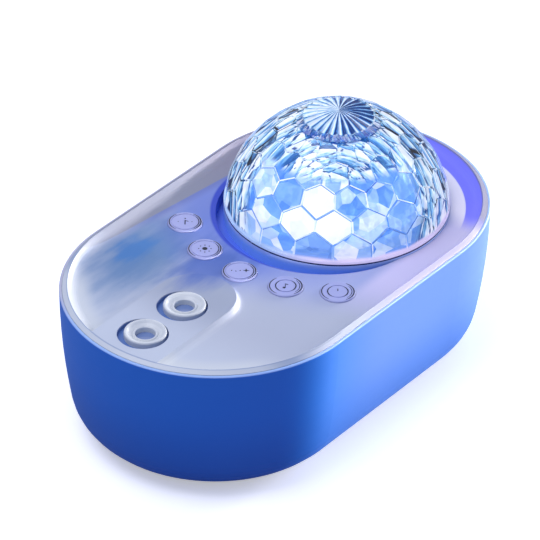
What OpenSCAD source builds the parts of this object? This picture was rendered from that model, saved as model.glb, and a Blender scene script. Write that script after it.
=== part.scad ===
// Star night light projector.
// A blue tub carries a pale cover with five buttons, two laser lenses and a faceted dome.
// Under the dome a lamp shines through a turning cup; under each lens a grating turns.
// Origin: bottom centre, on the surface that the feet stand on. +X points to the dome end,
// +Z up. Millimetres.

/* [Layout] */
// Radius of the dome at its base
dome_r = 43; // [40:0.5:46]
// From the dome's base to the tub's edge, at the sides
side_margin = 14.5; // [14.5:0.5:18]
// From the dome's base to the tub's edge, at the dome end
rear_margin = 16; // [15:0.5:18]
// From the dome's base to the middle of each button
button_reach = 16; // [15.6:0.2:18]
// From the middle button to the tip of the lens platform
button_to_platform = 11; // [10.6:0.2:14]
// From the platform's tip to the inner lens
tip_to_lens = 21.3; // [18:0.3:23.4]
// Distance between the two lenses
lens_pitch = 22.5; // [21.6:0.3:24]
// From the outer lens to the tub's front edge
lens_to_front = 17.2; // [17:0.2:20]

/* [Body] */
// Height of the tub's top edge above the table
rim_z = 59; // [53:0.5:65]
// Wall thickness of the tub
tub_wall = 2.4; // [2:0.1:2.6]
// How far the tub's wall leans in from its top edge to the table
tub_lean = 6.6; // [5:0.1:7]
// Radius of the round edge between wall and floor
tub_fillet = 16; // [13:0.5:17]
// How far the feet lift the tub's floor
foot_lift = 1.5; // [1:0.1:2]

/* [Cover] */
// Width of the lip around the cover, with the tub's own thin edge
lip_width = 3; // [2.6:0.1:3.4]
// Rise of the lip above the tub's edge
lip_rise = 1.3; // [1:0.1:1.6]
// Depth of the button panel below the lip
panel_drop = 2.9; // [2.4:0.1:3.2]
// Width of the sloped band between lip and panel
band_width = 4.1; // [3.5:0.1:5]
// Thickness of the cover
cover_wall = 2.2; // [1.8:0.1:2.4]

/* [Dome] */
// Height of the dome above its ring
dome_height = 40; // [37:0.5:44]
// Wall thickness of the dome
dome_wall = 2.4; // [2:0.1:2.8]
// Facets in each row around the dome
dome_columns = 18; // [16:1:22]
// Petals of the rosette on top of the dome
petals = 24; // [18:1:30]
// Depth of the flutes between the rosette's ridges
flute_depth = 0.9; // [0.5:0.1:1.2]
// Depth of the grooves between the facets
groove_depth = 0.2; // [0.1:0.05:0.4]
// Facets in each row around the turning cup
cup_columns = 12; // [10:1:14]
// Space between the turning cup and the dome, at the base
cup_gap = 10; // [9:0.5:12]
// Space between the turning cup and the dome, at the top
cup_headroom = 11; // [10:0.5:14]

/* [Lenses] */
// Width of the raised platform that holds the two lenses
platform_width = 30.4; // [28:0.2:32]
// Diameter of the pocket around each lens
lens_pocket_d = 19; // [18.6:0.1:19.6]
// Outer diameter of each lens collar
lens_collar_d = 15.8; // [15.2:0.1:16]
// Diameter of the hole in each lens collar
lens_hole_d = 7.6; // [7.2:0.1:8]

/* [Buttons] */
// Angle between neighbouring buttons
button_step = 19; // [18:0.5:19.5]
// Diameter of each button
button_d = 13.2; // [12.6:0.1:13.4]
// Travel of each button
button_travel = 0.6; // [0.4:0.1:0.6]

/* [Drives] */
// Teeth of the gear under the cup
cup_teeth = 66; // [66:2:66]
// Teeth of the pinion that drives the cup
cup_pinion_teeth = 12; // [12:2:12]
// Teeth of each grating wheel
grating_teeth = 40; // [40:2:40]
// Teeth of the pinion between the grating wheels
grating_pinion_teeth = 14; // [14:2:14]
// Size of the grating wheels' teeth: pitch diameter for each tooth
grating_module = 0.5; // [0.49:0.01:0.5]

/* [Hidden] */

// Fineness of large round parts, small round parts and the very wide arcs
round_fn = 96;
small_fn = 32;
wide_fn = 180;
// A small overlap that makes cuts clean and joins whole
eps = 0.1;

// Clearances: a running fit, a seated part, and a moving cap in its hole
running_gap = 0.06;
seat_gap = 0.1;
cap_gap = 0.15;

// The body is laid out along its length: dome, buttons, platform tip, lenses
button_arc_r = dome_r + button_reach;
body_width = 2 * (dome_r + side_margin);
body_length = dome_r + rear_margin + button_arc_r + button_to_platform + tip_to_lens
    + lens_pitch + lens_to_front;
end_x = body_length / 2;
dome_x = end_x - rear_margin - dome_r;
platform_tip_x = dome_x - button_arc_r - button_to_platform;
lens_a_x = platform_tip_x - tip_to_lens;
lens_b_x = lens_a_x - lens_pitch;

// Outline of the body: two round ends, joined by straight sides
rim_r = body_width / 2;
straight = (body_length - body_width) / 2;

// Tub
floor_z = foot_lift;
floor_t = 2.5;
floor_top = floor_z + floor_t;
fillet_z = floor_z + tub_fillet;
fillet_end = atan(2 * tub_lean / rim_z * (1 - fillet_z / rim_z));
fillet_end_z = fillet_z - tub_fillet * sin(fillet_end);
fillet_r = wall_r(fillet_end_z) - tub_fillet * cos(fillet_end);
tongue = 1;
ledge_z = rim_z - 2;
edge_chamfer = 0.3;

// Ribs: upright ones inside the tub's wall, and one under the cover's panel
rib_t = 1.4;
rib_reach = 2.4;
rib_angles = [-62, -24, 24, 62];
rib_xs = [-20, 0, 20];
rib_foot_z = floor_top + 4;
panel_rib_h = 2;
panel_rib_inset = 5.3;

// Cover. The slopes below the lip and beside the platform are hollow: steep at the top
// and flat at the foot. A larger bend is a sharper change
cove_steps = 5;
lip_bend = 2;
platform_bend = 3;
cover_gap = 0.1;
cover_r = rim_r - tongue - cover_gap;
cover_edge_z = rim_z + 0.2;
lip_z = rim_z + lip_rise;
lip_r = rim_r - lip_width;
panel_z = lip_z - panel_drop;
panel_r = lip_r - band_width;
cover_under = panel_z - cover_wall;
skirt_r = wall_r(ledge_z) - tub_wall - 0.2;
skirt_t = 1.6;
skirt_z = cover_under - 3.2;

// Side bands: the panel narrows towards the dome along wide arcs
side_arc_r = 165;
side_arc_x = dome_x - 50;
side_arc_reach = 0.5;
side_arc_rise = 8;

// Dome seat: a sunk dish with a crescent gap in front of the ring under the dome. The
// dome's foot covers the ring, and a shoulder on the ring holds the dome from inside
ring_r = dome_r;
ring_z = rim_z + 0.7;
dish_z = panel_z - 5;
dish_wall = 1.5;
crescent_r = dome_r - 2;
crescent_x = dome_x - 8;
seat_r = dome_r - 2;
ring_in = seat_r - 1.5;
dome_seat_z = ring_z - 1.5;
facet_r = dome_r * cos(180 / dome_columns) - 0.2;
shoulder_r = facet_r - dome_wall - 0.1;
shoulder_t = 1.2;

// Shape of the dome: a slightly pointed arch. Its rows of facets, as angles above the base
dome_power = 1.09;
dome_rows = [60.5, 47.5, 34.5, 21.5, 8.5];
dome_turn = 5.5;
rosette_from = 66;
petal_end_r = 13.6;
cup_power = 1.05;
cup_rows = [66, 46, 27, 8];
cup_wall = 1.6;
cup_r = dome_r - cup_gap;
cup_height = dome_height - cup_headroom;
// Share of each facet that stays flat inside its bevels
flat_share = 0.93;

// Laser platform
platform_r = platform_width / 2;
platform_x = platform_tip_x - platform_r;
platform_run = 3.2;
pocket_z = lip_z - 2;
pocket_shift = (lens_pocket_d - lens_collar_d) / 2 - 0.2;
collar_top = lip_z + 0.45;
window_r = 5.15;
window_t = 1.5;
lens_under = pocket_z - 2.2;
spigot_r = 6.5;

// Lens collar: a rounded rim, a step, a funnel, and a small ring round the hole. Each is
// a distance in from the rim or out from the hole, and a drop below the collar's top
collar_round = [0.6, 0.5];
collar_land = [1.1, 0.15];
collar_step = [1.8, 0.8];
funnel_foot = [1, 1.35];
hole_ring_out = [0.75, 0.95];
hole_ring_in = [0.3, 0.85];
hole_drop = 1.1;

// Buttons
button_angles = [180 - 2 * button_step, 180 - button_step, 180,
    180 + button_step, 180 + 2 * button_step];
button_r = button_d / 2;
button_rise = 0.6;
button_edge = 0.5;
button_groove = [0.45, 0.25];
wide_groove_r = button_r - 1.6;
small_groove_r = 3.6;
switch_side = 6;
plunger_r = 1.75;
flange_r = button_r + 1.3;
flange_t = 1.2;
flange_z = cover_under - seat_gap - flange_t;
guide_r = flange_r + 0.25;
guide_t = 1.2;
switch_z = flange_z - button_travel - 0.1;
switch_body_h = 3.5;
plunger_h = 0.7;
button_board_z = switch_z - plunger_h - switch_body_h;
button_board_t = 1.6;
button_board_in = button_arc_r - 9;
button_board_w = 19;
receiver_reach = button_arc_r - 6;
receiver_size = [3, 5, 4];
board_post_angles = [-1.5, -0.5, 0.5, 1.5];
board_post_r = button_arc_r + 7;

// Towers and posts that hold the layers together
tower_x = straight + 20.5;
tower_y = 18;
tower_r = 4.5;
frame_z = rim_z - 25;
frame_t = 2;
deck_z = frame_z + frame_t;
frame_r = rim_r - 4.5;
boss_h = 6;
post_r = 3.6;
rear_post_r = rim_r - 8.3;
rear_post_angle = 40;
front_post_r = rim_r - 14.6;
front_post_angle = 139.25;
head_seat_z = 8;
head_h = 2.4;

// Feet
foot_r = 6.5;
foot_recess = 0.7;

// Speaker
speaker_x = 15.5 - straight;
speaker_r = 24;
speaker_boss_r = speaker_r + 1.4;
speaker_seat = floor_top + 1.5;
speaker_flange_t = 1.4;
basket_z = speaker_seat + 9.4;
basket_t = 1;
basket_r = 13;
basket_in = 8;
basket_window_r = 2.6;
cone_t = 0.5;
cone_r = 7.4;
cone_z = speaker_seat + 7.2;
cap_z = speaker_seat + 9;
surround_r = speaker_r - 2.8;
magnet_r = 15;
magnet_h = 5;
plate_r = 12;
plate_t = 1;
pole_t = 1.2;
grille_hole_r = 1.6;
// Rings of holes in the grille: radius and count
grille_rings = [[0, 1], [6, 6], [12, 12]];

// Main board
board_x = straight + 8.5;
board_size = [64, 44, 1.6];
board_z = 12;
board_top = board_z + board_size[2];
board_boss_xs = [-26, 27];
board_boss_y = 16;
jack_z = board_top + 5.5;
jack_size = [14, 9, 11];
jack_x = end_x - 20.8;
inlet_r = 5;
jack_bore_r = 3;
jack_bore_from = 4;
chip_size = [12, 12, 1.4];
chip_leg = [1, 0.5, 0.4];
chip_leg_pitch = 1.2;
radio_spot = [-12, -14];
radio_board = [18, 12, 0.8];
radio_can = [12, 10, 1.6];
capacitor_spots = [[-22, 4], [-14, 6], [21, 9], [21, -9]];
capacitor_r = 3;
capacitor_h = 7.4;
// Connectors: place on the board and turn
connector_spots = [[-29, 4, 0], [-8, 17, 90], [2, 17, 90], [3, -18, 90]];
connector_size = [5, 8, 5];
connector_wall = 1;

// Lamp and cup drive: the pinion stands just inside the dome's ring
cup_pinion_reach = dome_r - 11.8;
cup_module = 2 * cup_pinion_reach / (cup_teeth + cup_pinion_teeth);
cup_pitch_r = cup_module * cup_teeth / 2;
cup_pinion_x = dome_x - cup_pinion_reach;
bearing_r = cup_pitch_r - 4.4;
bearing_z = deck_z + 16;
lamp_z = bearing_z - 5;
lamp_board_r = bearing_r - 7;
lamp_board_t = 1.6;
lamp_top = lamp_z + lamp_board_t;
housing_r = bearing_r + 2;
housing_wall = 1.6;
housing_top = bearing_z + 3.2;
gear_z = bearing_z + 0.15;
cup_gear_h = 2.85;
cup_base_z = gear_z + cup_gear_h;
cup_wide_z = cup_base_z + 5;
cup_base_r = cup_pitch_r - 1.4;
cup_motor_top = bearing_z - 2;
cup_motor_r = cup_pinion_reach - housing_r - 1.2;
motor_holder_t = 1.1;
shaft_r = 1;

// Lasers and gratings
barrel_r = 6;
nose_r = 5;
barrel_top = deck_z + 12;
nose_top = barrel_top + 3;
grating_z = barrel_top + 0.2;
grating_gear_h = 2;
disc_z = nose_top + 0.25;
disc_r = 6.5;
grating_wheel_top = disc_z + 1.15;
grating_reach = grating_module * (grating_teeth + grating_pinion_teeth) / 2;
grating_pinion_x = (lens_a_x + lens_b_x) / 2;
grating_pinion_y = sqrt(pow(grating_reach, 2) - pow(lens_pitch / 2, 2));
grating_angle = atan2(grating_pinion_y, lens_pitch / 2);
grating_motor_r = 5.5;
grating_motor_top = barrel_top - 2;
block_h = barrel_top - deck_z - 4;

// Colours
tub_colour = [0.27, 0.55, 0.95];
ring_colour = [0.25, 0.35, 0.8];
cover_colour = [0.87, 0.90, 0.97];
clear_colour = [0.75, 0.90, 1.0, 0.45];
board_colour = [0.06, 0.34, 0.20];
metal_colour = [0.72, 0.73, 0.75];
dark_colour = [0.12, 0.12, 0.14];
gear_colour = [0.93, 0.93, 0.90];

// ---------------------------------------------------------------- shared shapes

// Radius of the tub's outer wall at height z
function wall_r(z) = rim_r - tub_lean * pow(1 - z / rim_z, 2);

// A closed (radius, height) outline carried round the whole stadium outline of the body
module stadium(outline, half = straight) {
    for (side = [0, 1])
        mirror([side, 0, 0])
            translate([half, 0, 0])
                rotate([0, 0, -90])
                    rotate_extrude(angle = 180, $fn = round_fn)
                        polygon(outline);
    for (side = [0, 1])
        mirror([0, side, 0])
            translate([-half, 0, 0])
                rotate([90, 0, 90])
                    linear_extrude(2 * half)
                        polygon(outline);
}

// A ring or disc between two heights, about an upright axis
module tube(r_in, r_out, z_from, z_to, fine = round_fn) {
    translate([0, 0, z_from])
        difference() {
            cylinder(h = z_to - z_from, r = r_out, $fn = fine);
            translate([0, 0, -eps])
                cylinder(h = z_to - z_from + 2 * eps, r = r_in, $fn = fine);
        }
}

module rod(r, z_from, z_to, fine = small_fn) {
    translate([0, 0, z_from])
        cylinder(h = z_to - z_from, r = r, $fn = fine);
}

// A pan head screw whose head's bearing face is at z = 0, with its shaft upwards
module screw(head_r, head_h, shaft_r, shaft_h) {
    drive_r = head_r * 0.45;
    difference() {
        rotate_extrude($fn = small_fn)
            polygon([[0, -head_h], [head_r * 0.7, -head_h], [head_r, -head_h * 0.6],
                [head_r, 0], [shaft_r, 0], [shaft_r, shaft_h - shaft_r], [0, shaft_h]]);
        translate([0, 0, -head_h - eps])
            cylinder(h = head_h * 0.5 + eps, r = drive_r, $fn = 6);
    }
}

// Outline of a gear with straight-sided teeth; the first tooth points along +X
function gear_outline(teeth, size) =
    let (pitch = 360 / teeth, r = teeth * size / 2)
    [for (k = [0 : teeth - 1], corner = [[-0.33, -1.15], [-0.1, 0.85], [0.1, 0.85], [0.33, -1.15]])
        let (a = (k + corner[0]) * pitch, d = r + corner[1] * size)
        [d * cos(a), d * sin(a)]];

module gear(teeth, size, height, bore_r) {
    difference() {
        linear_extrude(height)
            polygon(gear_outline(teeth, size));
        translate([0, 0, -eps])
            cylinder(h = height + 2 * eps, r = bore_r, $fn = round_fn);
    }
}

module at_towers() {
    for (sx = [-1, 1], sy = [-1, 1])
        translate([sx * tower_x, sy * tower_y, 0])
            children();
}

module at_cover_posts() {
    for (sy = [-1, 1]) {
        translate([-straight + front_post_r * cos(front_post_angle),
            sy * front_post_r * sin(front_post_angle), 0])
            children();
        translate([straight + rear_post_r * cos(rear_post_angle),
            sy * rear_post_r * sin(rear_post_angle), 0])
            children();
    }
}

module at_speaker_screws() {
    for (a = [45 : 90 : 315])
        translate([speaker_x + speaker_boss_r * cos(a), speaker_boss_r * sin(a), 0])
            children();
}

module at_board_screws() {
    for (x = board_boss_xs, sy = [-1, 1])
        translate([board_x + x, sy * board_boss_y, 0])
            children();
}

module at_button_posts() {
    for (k = board_post_angles)
        translate([dome_x + board_post_r * cos(180 + k * button_step),
            board_post_r * sin(180 + k * button_step), 0])
            children();
}

module at_button(index) {
    translate([dome_x + button_arc_r * cos(button_angles[index]),
        button_arc_r * sin(button_angles[index]), 0])
        children();
}

// ---------------------------------------------------------------- faceted domes

// The arch of a dome with base radius r and height h: its point and outward
// normal at angle u above the base
function arch_point(u, r, h, power) = [r * pow(cos(u), power), h * pow(sin(u), power)];
function arch_normal(u, r, h, power) =
    [pow(cos(u), 2 - power) / r, pow(sin(u), 2 - power) / h];

// The flat facet at angle u, cut by the plane through its own axis (turn = 0) or by
// the plane midway to its neighbour (turn = half a column), as a line n . p = d
function facet_line(u, turn, r, h, power) =
    let (n = arch_normal(u, r, h, power), p = arch_point(u, r, h, power))
    [n[0] * cos(turn), n[1], n * p];

// Where two such lines meet
function meet(a, b) =
    let (det = a[0] * b[1] - a[1] * b[0])
    [(a[2] * b[1] - a[1] * b[2]) / det, (a[0] * b[2] - a[2] * b[0]) / det];

// The height of a line at radius r
function line_z(a, r) = (a[2] - a[0] * r) / a[1];

function ring_points(profile_point, columns, phase) =
    [for (j = [0 : columns - 1])
        let (a = (j + phase) * 360 / columns)
        [profile_point[0] * cos(a), profile_point[0] * sin(a), profile_point[1]]];

function sum(values, k = 0) = k == len(values) ? 0 : values[k] + sum(values, k + 1);
function middle_of(points) =
    [for (axis = [0 : 2]) sum([for (p = points) p[axis]]) / len(points)];

// A solid dome of staggered six-sided flat facets. rows holds the angle of each row of
// facets, from the top row to the lowest. Each facet is bevelled down to a groove, and
// the grooves are shared with its neighbours. cap_angle is where the top row ends
module faceted_dome(r, h, power, columns, rows, cap_angle, groove) {
    n = len(rows);
    turn = 180 / columns;
    own = [for (u = rows) facet_line(u, 0, r, h, power)];
    shared = [for (u = rows) facet_line(u, turn, r, h, power)];
    base_line = [0, 1, 0];
    tip_r = arch_point(cap_angle, r, h, power)[0];
    tip = [tip_r, line_z(own[0], tip_r)];
    end = [tip_r * 1.14, line_z(shared[0], tip_r * 1.14)];
    edge_top = [for (i = [0 : n - 1]) i == 0 ? end : meet(shared[i], own[i - 1])];
    edge_end = [for (i = [0 : n - 1])
        i == n - 1 ? meet(shared[i], base_line) : meet(shared[i], own[i + 1])];
    phase = [for (i = [0 : n - 1]) i % 2 / 2];

    corners = concat([[0, 0, h]], ring_points(tip, columns, 0),
        [for (i = [0 : n - 1])
            each concat(ring_points(edge_top[i], columns, phase[i] + 0.5),
                ring_points(edge_end[i], columns, phase[i] + 0.5))]);
    tip_at = 1;
    top_at = [for (i = [0 : n - 1]) tip_at + columns * (1 + 2 * i)];
    end_at = [for (i = [0 : n - 1]) top_at[i] + columns];

    cap = [for (j = [0 : columns - 1])
        let (back = (j + columns - 1) % columns)
        each [[0, tip_at + j, top_at[0] + j], [0, top_at[0] + back, tip_at + j]]];
    facets = [for (i = [0 : n - 1], j = [0 : columns - 1])
        let (back = (j + columns - 1) % columns,
            middle = phase[i] > 0 ? j : back,
            top = i == 0 ? tip_at + j : end_at[i - 1] + middle,
            bottom = i == n - 1 ? [] : [top_at[i + 1] + middle])
        concat([top, top_at[i] + back, end_at[i] + back], bottom,
            [end_at[i] + j, top_at[i] + j])];
    base = [[for (j = [columns - 1 : -1 : 0]) end_at[n - 1] + j]];

    // The flat middle of each facet stays in its plane, and the corners sink
    flats = [for (face = facets)
        let (middle = middle_of([for (k = face) corners[k]]))
        [for (k = face) middle + (corners[k] - middle) * flat_share]];
    flat_at = [for (k = 0, at = len(corners); k < len(facets);
        at = at + len(facets[k]), k = k + 1) at];
    points = concat([for (p = corners) p * (1 - groove / norm(p))],
        [for (flat = flats) each flat]);
    tables = [for (k = [0 : len(facets) - 1])
        [for (c = [0 : len(facets[k]) - 1]) flat_at[k] + c]];
    bevels = [for (k = [0 : len(facets) - 1], c = [0 : len(facets[k]) - 1])
        let (next = (c + 1) % len(facets[k]))
        each [[tables[k][c], facets[k][c], facets[k][next]],
            [tables[k][c], facets[k][next], tables[k][next]]]];
    polyhedron(points, [for (face = concat(cap, tables, bevels, base))
        [for (k = [len(face) - 1 : -1 : 0]) face[k]]]);
}

// The rosette on top of the dome: fluted petals that widen from the middle and end in
// scallops over the first row of facets
module rosette(r, h, power, count) {
    foot = arch_point(rosette_from, r, h, power);
    rings = [0.25, 0.6, 1];
    turns = 4 * count;
    waves = [0.5, -0.3, -0.5, -0.3];
    flute_rings = [for (share = rings)
        [for (k = [0 : turns - 1])
            let (d = petal_end_r * share,
                z = h + (arch_z(petal_end_r, r, h, power) - h) * pow(share, 1.7),
                a = k * 360 / turns)
            [d * cos(a), d * sin(a), z + waves[k % 4] * flute_depth * share]]];
    edge = [for (k = [0 : turns - 1])
        let (a = k * 360 / turns, d = foot[0] * (1 + 0.03 * waves[k % 4]))
        [d * cos(a), d * sin(a), foot[1] - 0.3]];
    floor_ring = [for (p = edge) [p[0] * 0.9, p[1] * 0.9, foot[1] - 3]];
    layers = concat(flute_rings, [edge, floor_ring]);
    points = concat([[0, 0, h]], [for (layer = layers) each layer]);
    skin = [for (m = [0 : len(layers) - 2], k = [0 : turns - 1])
        let (next = (k + 1) % turns, here = 1 + m * turns, below = here + turns)
        each [[here + k, here + next, below + next], [here + k, below + next, below + k]]];
    top = [for (k = [0 : turns - 1]) [0, 1 + (k + 1) % turns, 1 + k]];
    last = 1 + (len(layers) - 1) * turns;
    polyhedron(points, concat(top, skin, [[for (k = [0 : turns - 1]) last + k]]));
}

// The height of the arch at distance d from its axis
function arch_z(d, r, h, power) = let (u = acos(pow(d / r, 1 / power))) h * pow(sin(u), power);

// The smooth hollow inside a faceted dome, open at z_from, with its arch from z_base
module arch_hollow(r, h, power, z_from, z_base) {
    steps = 12;
    rotate_extrude($fn = round_fn)
        polygon(concat([[0, z_from], [r, z_from]],
            [for (k = [0 : steps])
                let (p = arch_point(90 * k / steps, r, h, power))
                [k == steps ? 0 : p[0], z_base + p[1]]]));
}

// ---------------------------------------------------------------- tub and feet

// Outer face, then the rim, then the inner face of the tub
function tub_outline() =
    let (arc_steps = 8, wall_steps = 6,
        arc = [for (k = [0 : arc_steps])
            let (a = -90 + k * (90 - fillet_end) / arc_steps)
            [cos(a), sin(a)]],
        heights = [for (k = [1 : wall_steps])
            fillet_end_z + k * (ledge_z - fillet_end_z) / wall_steps],
        inner_fillet = tub_fillet - tub_wall)
    concat([[0, floor_z]],
        [for (p = arc) [fillet_r + tub_fillet * p[0], fillet_z + tub_fillet * p[1]]],
        [for (z = heights) [wall_r(z), z]],
        [[rim_r, rim_z - edge_chamfer], [rim_r - edge_chamfer, rim_z],
            [rim_r - tongue, rim_z], [rim_r - tongue, ledge_z]],
        [for (k = [wall_steps - 1 : -1 : 0]) [wall_r(heights[k]) - tub_wall, heights[k]]],
        [for (k = [arc_steps : -1 : 0])
            [fillet_r + inner_fillet * arc[k][0],
                floor_top + inner_fillet + inner_fillet * arc[k][1]]],
        [[0, floor_top]]);

// Upright ribs inside the tub's wall, below the frame
module tub_ribs() {
    top = frame_z - 1;
    low_r = wall_r(fillet_end_z) - tub_wall;
    outline = [[low_r - rib_reach, rib_foot_z], [low_r + tub_wall / 2, fillet_end_z],
        [wall_r(top) - tub_wall / 2, top], [wall_r(top) - tub_wall - rib_reach, top],
        [low_r - rib_reach, fillet_end_z]];
    for (end = [0, 1], a = rib_angles)
        mirror([end, 0, 0])
            translate([straight, 0, 0])
                rotate([90, 0, a])
                    linear_extrude(rib_t, center = true)
                        polygon(outline);
    for (side = [0, 1], x = rib_xs)
        mirror([0, side, 0])
            translate([x, 0, 0])
                rotate([90, 0, 90])
                    linear_extrude(rib_t, center = true)
                        polygon(outline);
}

module base_shell() color(tub_colour) difference() {
    union() {
        stadium(tub_outline());
        tub_ribs();
        at_towers()
            rod(tower_r, floor_top - eps, frame_z);
        at_speaker_screws()
            rod(2.4, floor_top - eps, speaker_seat);
        at_board_screws()
            rod(2.8, floor_top - eps, board_z);
    }
    at_towers() {
        rod(foot_r + seat_gap, floor_z - eps, floor_z + foot_recess);
        rod(3.2, floor_z, head_seat_z);
        rod(1.6, floor_z, frame_z + eps);
    }
    at_speaker_screws()
        rod(1, floor_top - 1, speaker_seat + eps);
    at_board_screws()
        rod(1.2, floor_top, board_z + eps);
    grille_holes();
    translate([straight, 0, jack_z])
        rotate([0, 90, 0])
            rod(inlet_r, rim_r - 12, rim_r + eps, round_fn);
}

module grille_holes() {
    translate([speaker_x, 0, 0])
        for (ring = grille_rings, k = [0 : ring[1] - 1])
            rotate([0, 0, k * 360 / ring[1]])
                translate([ring[0], 0, 0])
                    rod(grille_hole_r, floor_z - eps, floor_top + eps, 24);
}

module rubber_feet() color(dark_colour)
    at_towers()
        rotate_extrude($fn = small_fn)
            polygon([[0, 0], [foot_r - 0.6, 0], [foot_r, 0.6],
                [foot_r, floor_z + foot_recess], [0, floor_z + foot_recess]]);

module base_screws() color(metal_colour)
    at_towers()
        translate([0, 0, head_seat_z])
            screw(2.8, head_h, 1.4, deck_z + boss_h - 1.4 - head_seat_z);

// ---------------------------------------------------------------- speaker

module speaker_gasket() color(dark_colour)
    translate([speaker_x, 0, 0])
        tube(speaker_r - 5, speaker_r - 1.4, floor_top, speaker_seat);

// Flange with four ears, and an open basket up to the magnet
module speaker_frame() color(metal_colour) difference() {
    flange_top = speaker_seat + speaker_flange_t;
    union() {
        translate([speaker_x, 0, 0])
            rotate_extrude($fn = round_fn)
                polygon([[speaker_r - 2.6, speaker_seat], [speaker_r, speaker_seat],
                    [speaker_r, flange_top], [speaker_r - 1.6, flange_top],
                    [basket_r, basket_z], [basket_in, basket_z],
                    [basket_in, basket_z - basket_t], [basket_r - 0.4, basket_z - basket_t]]);
        at_speaker_screws()
            rod(2.6, speaker_seat, flange_top);
    }
    at_speaker_screws()
        rod(1.1, speaker_seat - eps, flange_top + eps);
    for (a = [0 : 45 : 315])
        translate([speaker_x, 0, 0])
            rotate([0, 0, a])
                translate([basket_r + 4, 0, 0])
                    rod(basket_window_r, speaker_seat + 2, basket_z + 2);
}

module speaker_cone() color([0.2, 0.2, 0.22])
    translate([speaker_x, 0, 0])
        rotate_extrude($fn = round_fn)
            polygon([[surround_r, speaker_seat + 0.15], [surround_r - 1.2, speaker_seat + 2 * cone_t],
                [surround_r - 2.4, speaker_seat + cone_t], [cone_r, cone_z],
                [cone_r - 1.4, cap_z - 0.2], [0, cap_z], [0, cap_z - 2 * cone_t],
                [cone_r - 1.8, cap_z - 1.4], [cone_r - 0.8, cone_z - 2 * cone_t],
                [surround_r - 2.6, speaker_seat + 0.05],
                [surround_r - 1.2, speaker_seat + cone_t + 0.05],
                [surround_r, speaker_seat + 0.02]]);

module speaker_magnet() color(metal_colour) {
    magnet_top = basket_z + plate_t + magnet_h;
    translate([speaker_x, 0, 0])
        rotate_extrude($fn = round_fn)
            polygon([[0, basket_z], [plate_r, basket_z], [plate_r, basket_z + plate_t],
                [magnet_r, basket_z + plate_t], [magnet_r, magnet_top],
                [plate_r + 0.5, magnet_top], [plate_r + 0.5, magnet_top + pole_t],
                [0, magnet_top + pole_t]]);
}

module speaker_screws() color(metal_colour)
    at_speaker_screws()
        translate([0, 0, speaker_seat + speaker_flange_t])
            mirror([0, 0, 1])
                screw(2, 1.4, 0.95, 3.6);

// ---------------------------------------------------------------- main board

module main_board() color(board_colour) difference() {
    translate([board_x - board_size[0] / 2, -board_size[1] / 2, board_z])
        cube(board_size);
    at_towers()
        rod(tower_r + 0.7, board_z - eps, board_top + eps);
    at_board_screws()
        rod(1.3, board_z - eps, board_top + eps);
}

module board_screws() color(metal_colour)
    at_board_screws()
        translate([0, 0, board_top])
            mirror([0, 0, 1])
                screw(2.2, 1.6, 1.1, 6);

// Main processor with its legs
module main_chip() color(dark_colour) {
    translate([board_x - chip_size[0] / 2, -chip_size[1] / 2, board_top])
        cube(chip_size);
    for (side = [0 : 3], k = [-4 : 4])
        translate([board_x, 0, board_top])
            rotate([0, 0, 90 * side])
                translate([chip_size[0] / 2 - eps, k * chip_leg_pitch - chip_leg[1] / 2, 0])
                    cube([chip_leg[0] + eps, chip_leg[1], chip_leg[2]]);
}

// Radio module: a small board under a metal can
module radio_module() color(metal_colour) {
    translate([board_x + radio_spot[0], radio_spot[1], board_top]) {
        translate([-radio_board[0] * 0.5, -radio_board[1] / 2, 0])
            cube(radio_board);
        translate([radio_board[0] / 2 - radio_can[0] - 1, -radio_can[1] / 2,
            radio_board[2] - eps])
            cube([radio_can[0], radio_can[1], radio_can[2] + eps]);
    }
}

module capacitors() color([0.15, 0.2, 0.45])
    for (spot = capacitor_spots)
        translate([board_x + spot[0], spot[1], 0]) {
            rod(capacitor_r, board_top, board_top + capacitor_h);
            rod(capacitor_r + 0.3, board_top, board_top + 0.8);
        }

module board_connectors() color(gear_colour)
    for (spot = connector_spots)
        translate([board_x + spot[0], spot[1], board_top])
            rotate([0, 0, spot[2]])
                translate([-connector_size[0] / 2, -connector_size[1] / 2, 0])
                    difference() {
                        cube(connector_size);
                        translate([connector_wall, connector_wall, connector_wall])
                            cube([connector_size[0], connector_size[1] - 2 * connector_wall,
                                connector_size[2]]);
                    }

// Barrel jack that faces the inlet hole, with its centre pin
module power_jack() color(dark_colour) {
    difference() {
        translate([jack_x, -jack_size[1] / 2, board_top])
            cube(jack_size);
        translate([jack_x, 0, jack_z])
            rotate([0, 90, 0])
                rod(jack_bore_r, jack_bore_from, jack_size[0] + eps, round_fn);
    }
    translate([jack_x, 0, jack_z])
        rotate([0, 90, 0])
            rod(1, jack_bore_from - eps, jack_size[0] - 1);
}

// ---------------------------------------------------------------- middle frame

module mid_frame() color([0.85, 0.86, 0.88]) difference() {
    union() {
        stadium([[0, frame_z], [frame_r, frame_z], [frame_r, deck_z], [0, deck_z]]);
        at_towers()
            rod(4, deck_z - eps, deck_z + boss_h);
        translate([cup_pinion_x, 0, 0])
            rod(cup_motor_r + motor_holder_t, deck_z - eps, deck_z + 6, round_fn);
    }
    at_towers()
        rod(1.5, frame_z - eps, deck_z + boss_h + eps);
    at_cover_posts()
        rod(1.6, frame_z - eps, deck_z + eps);
    translate([cup_pinion_x, 0, 0])
        rod(cup_motor_r + seat_gap / 2, deck_z, deck_z + 6 + eps, round_fn);
    for (sy = [-1, 1], shift = [0, 16])
        translate([lens_a_x + 13.3 + shift, sy * 30, 0])
            rod(5.5, frame_z - eps, deck_z + eps);
    translate([dome_x - 50, 0, 0])
        rod(8, frame_z - eps, deck_z + eps);
}

module frame_screws() color(metal_colour)
    at_cover_posts()
        translate([0, 0, frame_z])
            screw(2.6, 2, 1.3, 11);

// ---------------------------------------------------------------- lamp

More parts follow.
